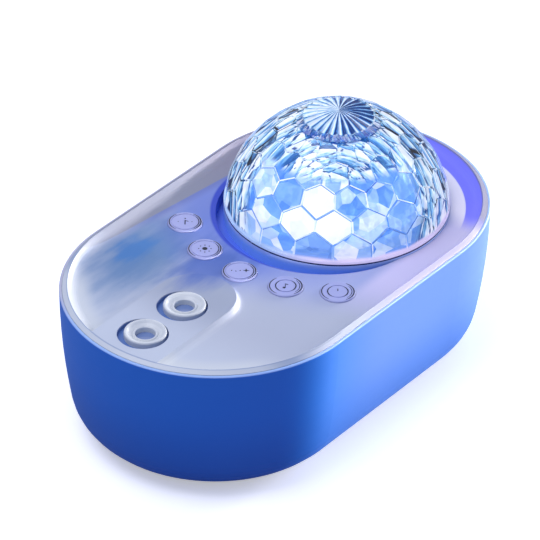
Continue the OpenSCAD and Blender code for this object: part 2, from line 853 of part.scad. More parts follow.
// Plate with fins below it
module heat_sink() color(metal_colour) translate([dome_x, 0, 0]) {
    fin = 1.4;
    rod(lamp_board_r, lamp_z - 2.5, lamp_z, round_fn);
    for (k = [-4 : 4])
        let (half = sqrt(pow(lamp_board_r, 2) - pow(abs(k) * 3 + fin, 2)))
            translate([-half, k * 3 - fin / 2, deck_z])
                cube([2 * half, fin, lamp_z - 2.5 - deck_z + eps]);
}

module lamp_board() color(gear_colour)
    translate([dome_x, 0, 0])
        difference() {
            rod(lamp_board_r, lamp_z, lamp_top, round_fn);
            for (a = [0, 180])
                rotate([0, 0, a])
                    translate([lamp_board_r - 3, 0, 0])
                        rod(1.2, lamp_z - eps, lamp_top + eps);
        }

module lamp_chips() color([1, 0.95, 0.7])
    for (k = [0 : 3])
        translate([dome_x, 0, 0])
            rotate([0, 0, 45 + 90 * k])
                translate([5, 0, lamp_top]) {
                    translate([-2.5, -2.5, 0])
                        cube([5, 5, 0.9]);
                    translate([0, 0, 0.9 - eps])
                        cylinder(h = 0.5, r1 = 1.9, r2 = 1.2, $fn = small_fn);
                }

// Tube around the lamp; its top is a reflector and the bearing that the cup gear turns on
module lamp_housing() color(gear_colour)
    translate([dome_x, 0, 0])
        rotate_extrude($fn = round_fn)
            polygon([[9.8, lamp_top + 0.3], [9.8, lamp_top + 0.9],
                [bearing_r - 1.4, housing_top], [bearing_r, housing_top],
                [bearing_r, bearing_z], [housing_r, bearing_z], [housing_r, deck_z],
                [housing_r - housing_wall, deck_z],
                [housing_r - housing_wall, bearing_z - 1.6]]);

// ---------------------------------------------------------------- cup drive

module cup_gear() color(gear_colour)
    translate([dome_x, 0, gear_z])
        gear(cup_teeth, cup_module, cup_gear_h, bearing_r + running_gap);

// Clear faceted cup: a flared foot on the gear, then a dome of large facets
module ripple_cup() color(clear_colour) translate([dome_x, 0, 0]) {
    facet_r = cup_r * cos(180 / cup_columns);
    inner_r = facet_r - cup_wall;
    difference() {
        union() {
            translate([0, 0, cup_wide_z])
                faceted_dome(facet_r, cup_height, cup_power, cup_columns, cup_rows, 80,
                    groove_depth);
            translate([0, 0, cup_base_z])
                cylinder(h = cup_wide_z - cup_base_z, r1 = cup_base_r, r2 = facet_r - 0.2,
                    $fn = round_fn);
        }
        arch_hollow(inner_r, cup_height - cup_wall, cup_power, cup_wide_z - eps, cup_wide_z);
        translate([0, 0, cup_base_z - eps])
            cylinder(h = cup_wide_z - cup_base_z + 2 * eps, r1 = cup_base_r - cup_wall,
                r2 = inner_r - 0.2, $fn = round_fn);
    }
}

module cup_pinion() color(gear_colour)
    translate([cup_pinion_x, 0, gear_z])
        rotate([0, 0, 180 / cup_pinion_teeth])
            gear(cup_pinion_teeth, cup_module, cup_gear_h, shaft_r);

module cup_motor_shaft() color(metal_colour)
    translate([cup_pinion_x, 0, 0])
        rod(shaft_r, cup_motor_top - 5, cup_base_z);

module cup_motor() color(metal_colour)
    translate([cup_pinion_x, 0, 0])
        motor(cup_motor_r, deck_z, cup_motor_top, 1);

// A motor can with a raised bearing nose and a hole for its shaft
module motor(r, z_from, z_to, nose) {
    difference() {
        rotate_extrude($fn = round_fn)
            polygon([[0, z_from], [r - 0.5, z_from], [r, z_from + 0.5], [r, z_to - 0.5],
                [r - 0.5, z_to], [2.6, z_to], [2.6, z_to + nose], [0, z_to + nose]]);
        rod(shaft_r + running_gap, z_to - 6, z_to + nose + eps);
    }
}

// ---------------------------------------------------------------- lasers and gratings

module laser_barrel(x) color([0.75, 0.62, 0.3])
    translate([x, 0, 0])
        difference() {
            rotate_extrude($fn = round_fn)
                polygon([[0, deck_z], [barrel_r - 0.5, deck_z], [barrel_r, deck_z + 0.5],
                    [barrel_r, barrel_top], [nose_r, barrel_top], [nose_r, nose_top],
                    [0, nose_top]]);
            rod(2.2, nose_top - 2, nose_top + eps);
        }

module laser_barrel_a() laser_barrel(lens_a_x);
module laser_barrel_b() laser_barrel(lens_b_x);

// Block that holds both barrels and the grating motor
module laser_block() color(metal_colour) difference() {
    side = barrel_r + 2.6;
    union() {
        translate([lens_b_x - side, -side, deck_z])
            cube([lens_pitch + 2 * side, 2 * side, block_h]);
        translate([grating_pinion_x, grating_pinion_y, 0])
            rod(grating_motor_r + 2, deck_z, deck_z + block_h, round_fn);
    }
    for (x = [lens_a_x, lens_b_x])
        translate([x, 0, 0])
            rod(barrel_r + seat_gap / 2, deck_z - eps, deck_z + block_h + eps, round_fn);
    translate([grating_pinion_x, grating_pinion_y, 0])
        rod(grating_motor_r + seat_gap / 2, deck_z - eps, deck_z + block_h + eps, round_fn);
}

// Toothed wheel on the barrel's nose, with a seat for the grating disc
module grating_wheel(x, turn) color(gear_colour)
    translate([x, 0, 0])
        difference() {
            union() {
                translate([0, 0, grating_z])
                    rotate([0, 0, turn])
                        linear_extrude(grating_gear_h)
                            polygon(gear_outline(grating_teeth, grating_module));
                rod(disc_r + 1.1, grating_z + 0.2, grating_wheel_top, round_fn);
            }
            rod(nose_r + running_gap, grating_z - eps, disc_z + eps, round_fn);
            rod(disc_r + seat_gap, disc_z, grating_wheel_top + eps, round_fn);
        }

// A tooth of each wheel stands where the pinion has a gap
pinion_pitch = 360 / grating_pinion_teeth;
pinion_turn = -grating_angle + pinion_pitch / 2;
gap_offset = (180 - 2 * grating_angle) % pinion_pitch;
wheel_b_turn = grating_angle - gap_offset * grating_pinion_teeth / grating_teeth;

module grating_wheel_a() grating_wheel(lens_a_x, 180 - grating_angle);
module grating_wheel_b() grating_wheel(lens_b_x, wheel_b_turn);

module grating_disc(x) color(clear_colour)
    translate([x, 0, 0])
        rod(disc_r, disc_z, disc_z + 0.9, round_fn);

module grating_disc_a() grating_disc(lens_a_x);
module grating_disc_b() grating_disc(lens_b_x);

module grating_pinion() color(gear_colour)
    translate([grating_pinion_x, grating_pinion_y, grating_z])
        rotate([0, 0, pinion_turn])
            gear(grating_pinion_teeth, grating_module, grating_gear_h, shaft_r);

module grating_motor_shaft() color(metal_colour)
    translate([grating_pinion_x, grating_pinion_y, 0])
        rod(shaft_r, grating_motor_top - 5, grating_z + grating_gear_h + 0.6);

module grating_motor() color(metal_colour)
    translate([grating_pinion_x, grating_pinion_y, 0])
        motor(grating_motor_r, deck_z, grating_motor_top, 1);

// ---------------------------------------------------------------- cover

// Outline of a hollow slope from its top to its foot, both as (radius, height)
function cove(top, foot, bend) =
    [for (k = [0 : cove_steps])
        let (t = k / cove_steps)
        [top[0] + (foot[0] - top[0]) * t, foot[1] + (top[1] - foot[1]) * pow(1 - t, bend)]];

// Lip, hollow band, panel and skirt
module cover_body() {
    stadium(concat([[0, cover_under], [skirt_r, cover_under], [skirt_r, ledge_z],
        [cover_r, ledge_z], [cover_r, cover_edge_z]],
        cove([lip_r, lip_z], [panel_r, panel_z], lip_bend), [[0, panel_z]]));
    stadium([[skirt_r - skirt_t, skirt_z], [skirt_r, skirt_z], [skirt_r, cover_under + eps],
        [skirt_r - skirt_t, cover_under + eps]]);
}

// The bands beside the dome: what the wide arcs leave between panel and lip
module side_bands() {
    reach_y = panel_r + side_arc_reach - side_arc_r;
    rear_x = 2 * dome_x - side_arc_x;
    difference() {
        stadium([[lip_r - 16, panel_z - eps], [lip_r - 0.3, panel_z - eps],
            [lip_r - 0.3, lip_z - 0.2], [lip_r - 16, lip_z - 0.2]]);
        for (sy = [-1, 1], x = [side_arc_x, rear_x])
            translate([x, sy * reach_y, panel_z - 1])
                cylinder(h = panel_drop + 1.4, r1 = side_arc_r - side_arc_rise / panel_drop,
                    r2 = side_arc_r + side_arc_rise * 1.1, $fn = wide_fn);
    }
}

// Raised platform, from its round end to the front lip. slope is the outline of its side
module platform(slope) {
    last = len(slope) - 1;
    low_z = slope[last][1] - eps;
    foot_r = slope[last][0];
    translate([platform_x, 0, 0])
        rotate_extrude($fn = round_fn)
            polygon(concat([[0, slope[0][1]]], slope, [[foot_r, low_z], [0, low_z]]));
    translate([platform_x, 0, 0])
        rotate([90, 0, -90])
            linear_extrude(straight + rim_r)
                polygon(concat([[foot_r, low_z]], [for (k = [last : -1 : 0]) slope[k]],
                    [for (p = slope) [-p[0], p[1]]], [[-foot_r, low_z]]));
}

module platform_solid() intersection() {
    platform(cove([platform_r, lip_z], [platform_r + platform_run, panel_z], platform_bend));
    stadium([[0, panel_z - 1], [lip_r + 0.2, panel_z - 1], [lip_r + 0.2, lip_z - 0.05],
        [lip_r, lip_z], [0, lip_z]]);
}

module platform_hollow() intersection() {
    hollow_r = platform_r - cover_wall * 0.8;
    platform([[hollow_r, lip_z - cover_wall], [hollow_r + platform_run, cover_under]]);
    stadium([[0, cover_under - 1], [panel_r - 1, cover_under - 1], [panel_r - 1, lip_z],
        [0, lip_z]]);
}

// Pocket, bore and stiffening boss of each lens
module lens_bosses() {
    for (x = [lens_a_x, lens_b_x]) {
        translate([x - pocket_shift, 0, 0])
            rod(lens_pocket_d / 2 + 1.6, pocket_z - 2, lip_z - cover_wall + eps, round_fn);
        translate([x, 0, 0])
            rod(spigot_r + 2, lens_under, pocket_z - eps, round_fn);
    }
}

module lens_cuts() {
    for (x = [lens_a_x, lens_b_x]) {
        translate([x - pocket_shift, 0, 0])
            rod(lens_pocket_d / 2, pocket_z, lip_z + 1, round_fn);
        translate([x, 0, 0])
            rod(spigot_r + seat_gap, lens_under - eps, pocket_z + 1, round_fn);
    }
}

// Rib under the panel, all round inside the skirt and open below the platform
module panel_rib() difference() {
    r_in = skirt_r - skirt_t - panel_rib_inset;
    half_gap = platform_r + platform_run;
    stadium([[r_in, cover_under - panel_rib_h], [r_in + rib_t, cover_under - panel_rib_h],
        [r_in + rib_t, cover_under + eps], [r_in, cover_under + eps]]);
    translate([-end_x, -half_gap, cover_under - 2 * panel_rib_h])
        cube([end_x - rim_r / 2, 2 * half_gap, 3 * panel_rib_h]);
}

module top_cover() color(cover_colour) difference() {
    union() {
        difference() {
            union() {
                cover_body();
                side_bands();
                platform_solid();
            }
            platform_hollow();
        }
        lens_bosses();
        translate([crescent_x, 0, 0])
            rod(crescent_r + dish_wall, dish_z - 2, cover_under + eps, round_fn);
        translate([dome_x, 0, 0])
            rod(ring_r + dish_wall, dish_z - 2, cover_under + eps, round_fn);
        for (k = [0 : 4])
            at_button(k)
                tube(guide_r, guide_r + guide_t, flange_z - 0.6, cover_under + eps);
        panel_rib();
        at_cover_posts()
            rod(post_r, deck_z, cover_under + eps);
        at_button_posts()
            rod(2.2, button_board_z, cover_under + eps);
    }
    translate([crescent_x, 0, 0])
        rod(crescent_r, dish_z, lip_z + 1, round_fn);
    translate([dome_x, 0, 0]) {
        rod(ring_r + seat_gap, dish_z, lip_z + 1, round_fn);
        rod(seat_r, dish_z - 3, lip_z, round_fn);
    }
    lens_cuts();
    for (k = [0 : 4])
        at_button(k)
            rod(button_r + cap_gap, cover_under - 1, panel_z + 1, round_fn);
    at_cover_posts()
        rod(1.35, deck_z - eps, deck_z + 12);
    at_button_posts()
        rod(0.95, button_board_z - eps, cover_under - 1);
}

// Lens collar: a raised ring with a funnel, and a spigot into the cover
module lens_collar(x) color(cover_colour) translate([x, 0, 0]) {
    r = lens_collar_d / 2;
    hole = lens_hole_d / 2;
    rotate_extrude($fn = round_fn)
        polygon([[r, pocket_z], [r, collar_top - collar_round[1]],
            [r - collar_round[0] / 3, collar_top - collar_round[1] / 5],
            [r - collar_round[0], collar_top], [r - collar_land[0], collar_top - collar_land[1]],
            [r - collar_step[0], collar_top - collar_step[1]],
            [hole + funnel_foot[0], collar_top - funnel_foot[1]],
            [hole + hole_ring_out[0], collar_top - hole_ring_out[1]],
            [hole + hole_ring_in[0], collar_top - hole_ring_in[1]],
            [hole, collar_top - hole_drop], [hole, lens_under + window_t],
            [window_r + 0.05, lens_under + window_t], [window_r + 0.05, lens_under],
            [spigot_r, lens_under], [spigot_r, pocket_z]]);
}

module lens_collar_a() lens_collar(lens_a_x);
module lens_collar_b() lens_collar(lens_b_x);

module lens_window(x) color(clear_colour)
    translate([x, 0, 0])
        rod(window_r, lens_under, lens_under + window_t, round_fn);

module lens_window_a() lens_window(lens_a_x);
module lens_window_b() lens_window(lens_b_x);

// ---------------------------------------------------------------- dome

module dome_ring() color(ring_colour) translate([dome_x, 0, 0])
    rotate_extrude($fn = round_fn)
        polygon([[ring_in, dish_z - 2], [seat_r - seat_gap, dish_z - 2],
            [seat_r - seat_gap, dish_z], [ring_r, dish_z], [ring_r, dome_seat_z],
            [shoulder_r, dome_seat_z], [shoulder_r, ring_z],
            [shoulder_r - shoulder_t, ring_z],
            [shoulder_r - shoulder_t, dome_seat_z - shoulder_t],
            [ring_in, dome_seat_z - shoulder_t]]);

module dome() color(clear_colour) translate([dome_x, 0, 0]) difference() {
    union() {
        rod(dome_r, dome_seat_z, ring_z + 0.2, round_fn);
        translate([0, 0, ring_z])
            rotate([0, 0, dome_turn]) {
                faceted_dome(facet_r, dome_height - flute_depth, dome_power, dome_columns,
                    dome_rows, rosette_from, groove_depth);
                rosette(dome_r, dome_height, dome_power, petals);
            }
    }
    arch_hollow(facet_r - dome_wall, dome_height - dome_wall, dome_power,
        dome_seat_z - eps, ring_z);
}

// ---------------------------------------------------------------- buttons

// A cap with a flange below the cover. groove_r is the ring cut into its top
module button(index, groove_r) color(cover_colour) at_button(index) {
    top = panel_z + button_rise;
    difference() {
        rotate_extrude($fn = round_fn)
            polygon([[0, flange_z], [flange_r, flange_z], [flange_r, flange_z + flange_t],
                [button_r, flange_z + flange_t], [button_r, top - button_edge * 0.8],
                [button_r - button_edge * 0.3, top - button_edge * 0.24],
                [button_r - button_edge, top], [0, top]]);
        tube(groove_r, groove_r + button_groove[0], top - button_groove[1], top + 1);
    }
}

module clock_button() button(0, wide_groove_r);
module light_button() button(1, wide_groove_r);
module mode_button() button(2, wide_groove_r);
module music_button() button(3, small_groove_r);
module power_button() button(4, small_groove_r);

// Curved board below the buttons
module button_board() color(board_colour) difference() {
    spread = 2 * button_step + 8;
    translate([dome_x, 0, button_board_z - button_board_t])
        rotate([0, 0, 180 - spread])
            rotate_extrude(angle = 2 * spread, $fn = round_fn)
                translate([button_board_in, 0])
                    square([button_board_w, button_board_t]);
    at_button_posts()
        rod(1.1, button_board_z - 3, button_board_z + eps);
}

module button_switches() color(dark_colour)
    for (k = [0 : 4])
        at_button(k) {
            translate([-switch_side / 2, -switch_side / 2, button_board_z])
                cube([switch_side, switch_side, switch_body_h]);
            rod(plunger_r, button_board_z + switch_body_h - eps, switch_z);
        }

module button_board_screws() color(metal_colour)
    at_button_posts()
        translate([0, 0, button_board_z - button_board_t])
            screw(1.9, 1.2, 0.9, 6);

// Receiver for the remote control's light, beside the middle button
module infrared_receiver() color(dark_colour)
    translate([dome_x, 0, 0])
        rotate([0, 0, 180 + button_step / 2])
            translate([receiver_reach, 0, button_board_z]) {
                translate([-receiver_size[0] / 2, -receiver_size[1] / 2, 0])
                    cube(receiver_size);
                rod(1.4, receiver_size[2] - eps, receiver_size[2] + 0.9);
            }

base_shell();
rubber_feet();
base_screws();
speaker_frame();
speaker_cone();
speaker_magnet();
speaker_gasket();
speaker_screws();
main_board();
board_screws();
main_chip();
radio_module();
capacitors();
board_connectors();
power_jack();
mid_frame();
frame_screws();
heat_sink();
lamp_board();
lamp_chips();
lamp_housing();
cup_gear();
ripple_cup();
cup_pinion();
cup_motor_shaft();
cup_motor();
laser_block();
laser_barrel_a();
laser_barrel_b();
grating_wheel_a();
grating_wheel_b();
grating_disc_a();
grating_disc_b();
grating_pinion();
grating_motor_shaft();
grating_motor();
top_cover();
lens_collar_a();
lens_collar_b();
lens_window_a();
lens_window_b();
dome_ring();
dome();
clock_button();
light_button();
mode_button();
music_button();
power_button();
button_board();
button_switches();
button_board_screws();
infrared_receiver();
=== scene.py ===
# %% [markdown]
# # A star night light projector
# A blue tub stands on four rubber feet and carries a pale cover. The cover holds a clear
# faceted dome over a turning lens cup, two laser lenses on a raised platform, and an arc
# of five push buttons. The shapes come from the measured frame, so this lesson is about
# finishes: moulded plastic, clear acrylic, glass, rubber, metal and printed marks.

# %% Load the measured frame
import math

import bmesh
import bpy
from mathutils import Matrix, Vector


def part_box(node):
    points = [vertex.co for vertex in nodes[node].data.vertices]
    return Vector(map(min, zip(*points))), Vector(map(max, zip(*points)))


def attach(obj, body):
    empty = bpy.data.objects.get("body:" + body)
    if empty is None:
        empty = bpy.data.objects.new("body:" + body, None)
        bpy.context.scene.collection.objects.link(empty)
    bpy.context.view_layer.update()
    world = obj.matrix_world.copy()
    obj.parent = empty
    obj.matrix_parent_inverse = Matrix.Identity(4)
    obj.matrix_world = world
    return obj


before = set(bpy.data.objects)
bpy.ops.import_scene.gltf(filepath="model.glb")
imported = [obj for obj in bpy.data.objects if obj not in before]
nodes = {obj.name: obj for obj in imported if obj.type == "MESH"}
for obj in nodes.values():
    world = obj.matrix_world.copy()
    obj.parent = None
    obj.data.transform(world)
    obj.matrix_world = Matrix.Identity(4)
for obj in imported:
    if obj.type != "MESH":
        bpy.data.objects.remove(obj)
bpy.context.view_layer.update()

# %% [markdown]
# ## Camera
# A product like this is shown from above and to one side, with a long lens, so that its
# straight edges stay nearly parallel. The camera is placed by the direction from the
# object to the lens, a point to look at and a distance, and it is rolled by less than a
# degree.

# %% Place the camera
look_at = Vector((0.05101, 0.04334, 0.0))
yaw, pitch, roll = -0.9096, 0.6032, 0.0139
camera_distance = 1.7672
back = Vector((math.sin(yaw) * math.cos(pitch), -math.cos(yaw) * math.cos(pitch), math.sin(pitch)))
level = Vector((math.cos(yaw), math.sin(yaw), 0.0))
upright = back.cross(level)
right = math.cos(roll) * level + math.sin(roll) * upright
up = math.cos(roll) * upright - math.sin(roll) * level
camera = bpy.data.objects.new("camera", bpy.data.cameras.new("camera"))
bpy.context.scene.collection.objects.link(camera)
camera.matrix_world = Matrix.Translation(look_at + back * camera_distance) @ Matrix(
    (right, up, back)).transposed().to_4x4()
camera.data.sensor_width = 36.0
camera.data.lens = 299.28
camera.data.clip_end = 20.0
bpy.context.scene.camera = camera
bpy.context.scene.view_settings.view_transform = "Standard"
print("camera stands", round(camera.location.length, 3), "m from the middle")

# %% [markdown]
# ## Studio
# A soft lamp stands low beyond the dome end and lights every slope that faces it. A strip
# light with a narrow beam washes the near wall and stops where the front end starts to
# curve, so the front end stays in blue shade. The strip is hidden from mirror rays, so that
# its outline doesn't show in the gloss of the cover. A weaker lamp hangs over the cover. Clear
# plastic passes light, so the shadows leave out the dome and the cup. The dome's glow is
# painted light, given as emission in its finish, and both side lamps are kept off it. The
# room fills the rest with a cool light, and mirrors and clear plastic see it as nearly white.
# The table is white and takes a soft shadow.

# %% Helpers for colours and lamps
def colour(red, green, blue):
    """A colour as a screen shows it, 0 to 255, in the linear values that shaders use."""
    def linear(v):
        v = v / 255.0
        return v / 12.92 if v <= 0.04045 else ((v + 0.055) / 1.055) ** 2.4
    return (linear(red), linear(green), linear(blue), 1.0)


def soft_lamp(name, direction, distance, size, watts, tint):
    data = bpy.data.lights.new(name, "AREA")
    data.shape = "DISK"
    data.size = size
    data.energy = watts
    data.color = tint[:3]
    lamp = bpy.data.objects.new(name, data)
    bpy.context.scene.collection.objects.link(lamp)
    aim = Vector(direction).normalized()
    lamp.location = aim * distance
    lamp.rotation_mode = "QUATERNION"
    lamp.rotation_quaternion = aim.to_track_quat("Z", "Y")
    return lamp


# %% Place the lamps
key_lamp = soft_lamp("key_lamp", (0.966, -0.259, 0.08), 1.6, 0.45, 52.0, colour(255, 250, 244))
side_strip = soft_lamp("side_strip", (0.0, -1.0, 0.06), 0.66, 0.15, 0.115, colour(255, 250, 246))
beam_middle_x = 0.0265
side_strip.location.x = beam_middle_x
side_strip.data.shape = "RECTANGLE"
side_strip.data.size_y = 0.20
side_strip.data.spread = math.radians(3.0)
side_strip.visible_glossy = False
top_lamp = soft_lamp("top_lamp", (-0.3, 0.2, 1.0), 1.4, 1.0, 9.5, colour(255, 252, 250))
shade_free = bpy.data.collections.new("clear_parts")
for lamp in (key_lamp, side_strip):
    lamp.light_linking.blocker_collection = shade_free
for name in ("dome", "ripple_cup"):
    shade_free.objects.link(nodes[name])
self_lit = bpy.data.collections.new("self_lit_parts")
for lamp in (key_lamp, side_strip):
    lamp.light_linking.receiver_collection = self_lit
self_lit.objects.link(nodes["dome"])
for entry in list(shade_free.collection_objects) + list(self_lit.collection_objects):
    entry.light_linking.link_state = "EXCLUDE"
print("lamps:", key_lamp.name, side_strip.name, top_lamp.name)

# %% Room light and table
world = bpy.data.worlds.new("room")
world.use_nodes = True
bpy.context.scene.world = world
room = world.node_tree
room_fill = room.nodes["Background"]
room_fill.inputs["Color"].default_value = colour(168, 182, 222)
room_fill.inputs["Strength"].default_value = 0.95
room_white = room.nodes.new("ShaderNodeBackground")
room_white.inputs["Color"].default_value = (1.0, 1.0, 1.0, 1.0)
room_white.inputs["Strength"].default_value = 1.0
seen = room.nodes.new("ShaderNodeLightPath")
mirror_share = room.nodes.new("ShaderNodeMath")
mirror_share.operation = "MULTIPLY"
mirror_brightness = 0.6
mirror_share.inputs[1].default_value = mirror_brightness
room.links.new(seen.outputs["Is Glossy Ray"], mirror_share.inputs[0])
either = room.nodes.new("ShaderNodeMath")
either.operation = "MAXIMUM"
room.links.new(seen.outputs["Is Camera Ray"], either.inputs[0])
room.links.new(seen.outputs["Is Transmission Ray"], either.inputs[1])
any_of = room.nodes.new("ShaderNodeMath")
any_of.operation = "MAXIMUM"
room.links.new(either.outputs[0], any_of.inputs[0])
room.links.new(mirror_share.outputs[0], any_of.inputs[1])
pick = room.nodes.new("ShaderNodeMixShader")
room.links.new(any_of.outputs[0], pick.inputs[0])
room.links.new(room_fill.outputs[0], pick.inputs[1])
room.links.new(room_white.outputs[0], pick.inputs[2])
room.links.new(pick.outputs[0], room.nodes["World Output"].inputs["Surface"])

table_mesh = bpy.data.meshes.new("table_top")
table_mesh.from_pydata([(-3, -3, 0), (3, -3, 0), (3, 3, 0), (-3, 3, 0)], [], [(0, 1, 2, 3)])
table_top = bpy.data.objects.new("table_top", table_mesh)
bpy.context.scene.collection.objects.link(table_top)
print("room and table are ready")

# %% [markdown]
# ## Finishes
# Every finish is a node tree on one principled shader. A few helpers keep the trees short:
# one starts a finish, one mottles or steps a value over a distance, one blends colours,
# one adds a fine moulded grain as bump, and one gives a finish to the frame's own parts.

# %% Helpers for finishes
def start_finish(name, base, roughness, metallic=0.0):
    finish = bpy.data.materials.new(name)
    finish.use_nodes = True
    shader = finish.node_tree.nodes["Principled BSDF"]
    shader.inputs["Base Color"].default_value = base
    shader.inputs["Roughness"].default_value = roughness
    shader.inputs["Metallic"].default_value = metallic
    return finish, finish.node_tree, shader


def object_place(tree):
    return tree.nodes.new("ShaderNodeTexCoord").outputs["Object"]


def axes(tree, place):
    """The three coordinates of a place, in metres: along, across and up."""
    apart = tree.nodes.new("ShaderNodeSeparateXYZ")
    tree.links.new(place, apart.inputs[0])
    return apart.outputs


def noise(tree, place, scale, detail=3.0, roughness=0.5):
    cloud = tree.nodes.new("ShaderNodeTexNoise")
    cloud.inputs["Scale"].default_value = scale
    cloud.inputs["Detail"].default_value = detail
    cloud.inputs["Roughness"].default_value = roughness
    tree.links.new(place, cloud.inputs["Vector"])
    return cloud.outputs["Fac"]


def calc(tree, operation, first, second=None, clamp=False):
    """One Math node. Each value is a number or another node's output."""
    step = tree.nodes.new("ShaderNodeMath")
    step.operation = operation
    step.use_clamp = clamp
    for socket, value in zip(step.inputs, (first, second)):
        if isinstance(value, (int, float)):
            socket.default_value = value
        elif value is not None:
            tree.links.new(value, socket)
    return step.outputs[0]


def fade(tree, value, start, end, low=0.0, high=1.0):
    """A smooth step from low, where value is at start, to high, where it is at end."""
    step = tree.nodes.new("ShaderNodeMapRange")
    step.interpolation_type = "SMOOTHSTEP"
    for name, number in (("From Min", start), ("From Max", end), ("To Min", low), ("To Max", high)):
        step.inputs[name].default_value = number
    tree.links.new(value, step.inputs["Value"])
    return step.outputs["Result"]


def mix(tree, share, first, second):
    """Blends two colours. Each is a colour or another node's output."""
    step = tree.nodes.new("ShaderNodeMix")
    step.data_type = "RGBA"
    inputs = {"Factor": share, "A": first, "B": second}
    sockets = {"Factor": step.inputs[0], "A": step.inputs[6], "B": step.inputs[7]}
    for name, value in inputs.items():
        if isinstance(value, (int, float, tuple)):
            sockets[name].default_value = value
        else:
            tree.links.new(value, sockets[name])
    return step.outputs[2]


def away_from(tree, sides, x, y, stretch=(1.0, 1.0)):
    """Level distance from the upright axis through (x, y)."""
    dx = calc(tree, "MULTIPLY", calc(tree, "SUBTRACT", sides[0], x), stretch[0])
    dy = calc(tree, "MULTIPLY", calc(tree, "SUBTRACT", sides[1], y), stretch[1])
    return calc(tree, "SQRT", calc(tree, "ADD", calc(tree, "MULTIPLY", dx, dx),
        calc(tree, "MULTIPLY", dy, dy)))


def grain(tree, shader, height, depth, strength=1.0):
    """Bump from a height, with its depth in metres."""
    bump = tree.nodes.new("ShaderNodeBump")
    bump.inputs["Strength"].default_value = strength
    bump.inputs["Distance"].default_value = depth
    tree.links.new(height, bump.inputs["Height"])
    tree.links.new(bump.outputs["Normal"], shader.inputs["Normal"])


def give(finish, *names):
    """Gives a finish to parts of the frame."""
    for name in names:
        slots = nodes[name].data.materials
        for index in range(len(slots)):
            slots[index] = finish


table_finish, tree, shader = start_finish("table_white", colour(250, 251, 255), 0.9)
shader.inputs["Specular IOR Level"].default_value = 0.1
table_seen = tree.nodes.new("ShaderNodeLightPath").outputs["Is Camera Ray"]
table_pale = mix(tree, noise(tree, object_place(tree), 1.2), colour(251, 252, 255),
    colour(247, 249, 254))
tree.links.new(mix(tree, table_seen, colour(150, 162, 205), table_pale), shader.inputs["Base Color"])
table_reach = away_from(tree, axes(tree, object_place(tree)), 0.0, 0.0)
table_far = fade(tree, table_reach, 0.35, 1.4, 0.4, 1.0)
tree.links.new(calc(tree, "MULTIPLY", table_seen, table_far), shader.inputs["Emission Strength"])
shader.inputs["Emission Color"].default_value = colour(255, 254, 248)
table_mesh.materials.append(table_finish)
print("helpers are ready")

# %% [markdown]
# ## The blue tub
# The tub is one moulded shell of satin plastic with a very fine grain from the tool. The
# real plastic is one blue. Here the blue also changes with the place: it is deeper towards
# the foot, paler along the near wall and the rear end, where much light falls, and palest on
# the thin top edge. Those changes stand for light, so they stay with the tub in a new scene.
# A weak sheen stands for the haze that satin plastic shows at a low angle.

# %% Tub finish
mould_grain = 2600.0
tub_finish, tree, shader = start_finish("tub_plastic", colour(38, 112, 198), 0.6)
place = object_place(tree)
sides = axes(tree, place)
soft = noise(tree, place, 18.0)
body_blue = mix(tree, soft, colour(14, 100, 187), colour(20, 106, 192))
low_blue = mix(tree, fade(tree, sides[2], 0.045, 0.004, 0.0, 0.9), body_blue, colour(4, 80, 160))
body_blue = mix(tree, fade(tree, sides[0], 0.085, 0.045), body_blue, low_blue)
near_wash = calc(tree, "MULTIPLY", fade(tree, sides[0], -0.060, -0.005, 0.0, 0.5),
    fade(tree, sides[2], 0.005, 0.045, 0.3, 1.0))
body_blue = mix(tree, near_wash, body_blue, colour(122, 140, 188))
rear_wash = fade(tree, sides[0], 0.050, 0.090, 0.0, 0.75)
body_blue = mix(tree, rear_wash, body_blue, colour(104, 146, 204))
edge_share = calc(tree, "MULTIPLY", fade(tree, sides[2], 0.0583, 0.0590), 0.8)
edge_pale = mix(tree, fade(tree, sides[1], 0.020, 0.045), colour(178, 208, 250),
    colour(206, 200, 204))
tree.links.new(mix(tree, edge_share, body_blue, edge_pale), shader.inputs["Base Color"])
tree.links.new(fade(tree, soft, 0.3, 0.7, 0.58, 0.66), shader.inputs["Roughness"])
shader.inputs["Specular IOR Level"].default_value = 0.6
shader.inputs["Sheen Weight"].default_value = 0.06
shader.inputs["Sheen Roughness"].default_value = 0.5
shader.inputs["Sheen Tint"].default_value = colour(215, 232, 255)
grain(tree, shader, noise(tree, place, mould_grain, 2.0), 0.00004, 0.35)
give(tub_finish, "base_shell")
print("tub finish on base_shell")

# %% [markdown]
# ## The pale cover
# The cover is the same kind of plastic in a pale cool grey. Its tints are painted light
# and shade: a painted lilac of lamp light and shade around the dome, painted violet shade on
# the wall behind it, painted blue shade over the hollow at the far side of the lens platform,
# and painted highlights on the ridge and the lit slopes. Every tint depends on the place on
# the cover, and a soft noise breaks its edge. Distances from a few upright axes give the places.

# %% Cover finish: the pale plastic and its painted blue shade
dome_x = 0.036
end_x = 0.0375
far_slant = 0.112
platform_side, platform_top = 0.0598, 0.0601
cover_finish, tree, shader = start_finish("cover_plastic", colour(180, 185, 197), 0.42)
place = object_place(tree)
sides = axes(tree, place)
from_dome = away_from(tree, sides, dome_x, 0.0)
soft = noise(tree, place, 24.0)


def tint(share, shade, strength=1.0):
    """Lays a shade over the cover's colour so far, and gives the new colour."""
    return mix(tree, calc(tree, "MULTIPLY", share, strength), tinted, shade)


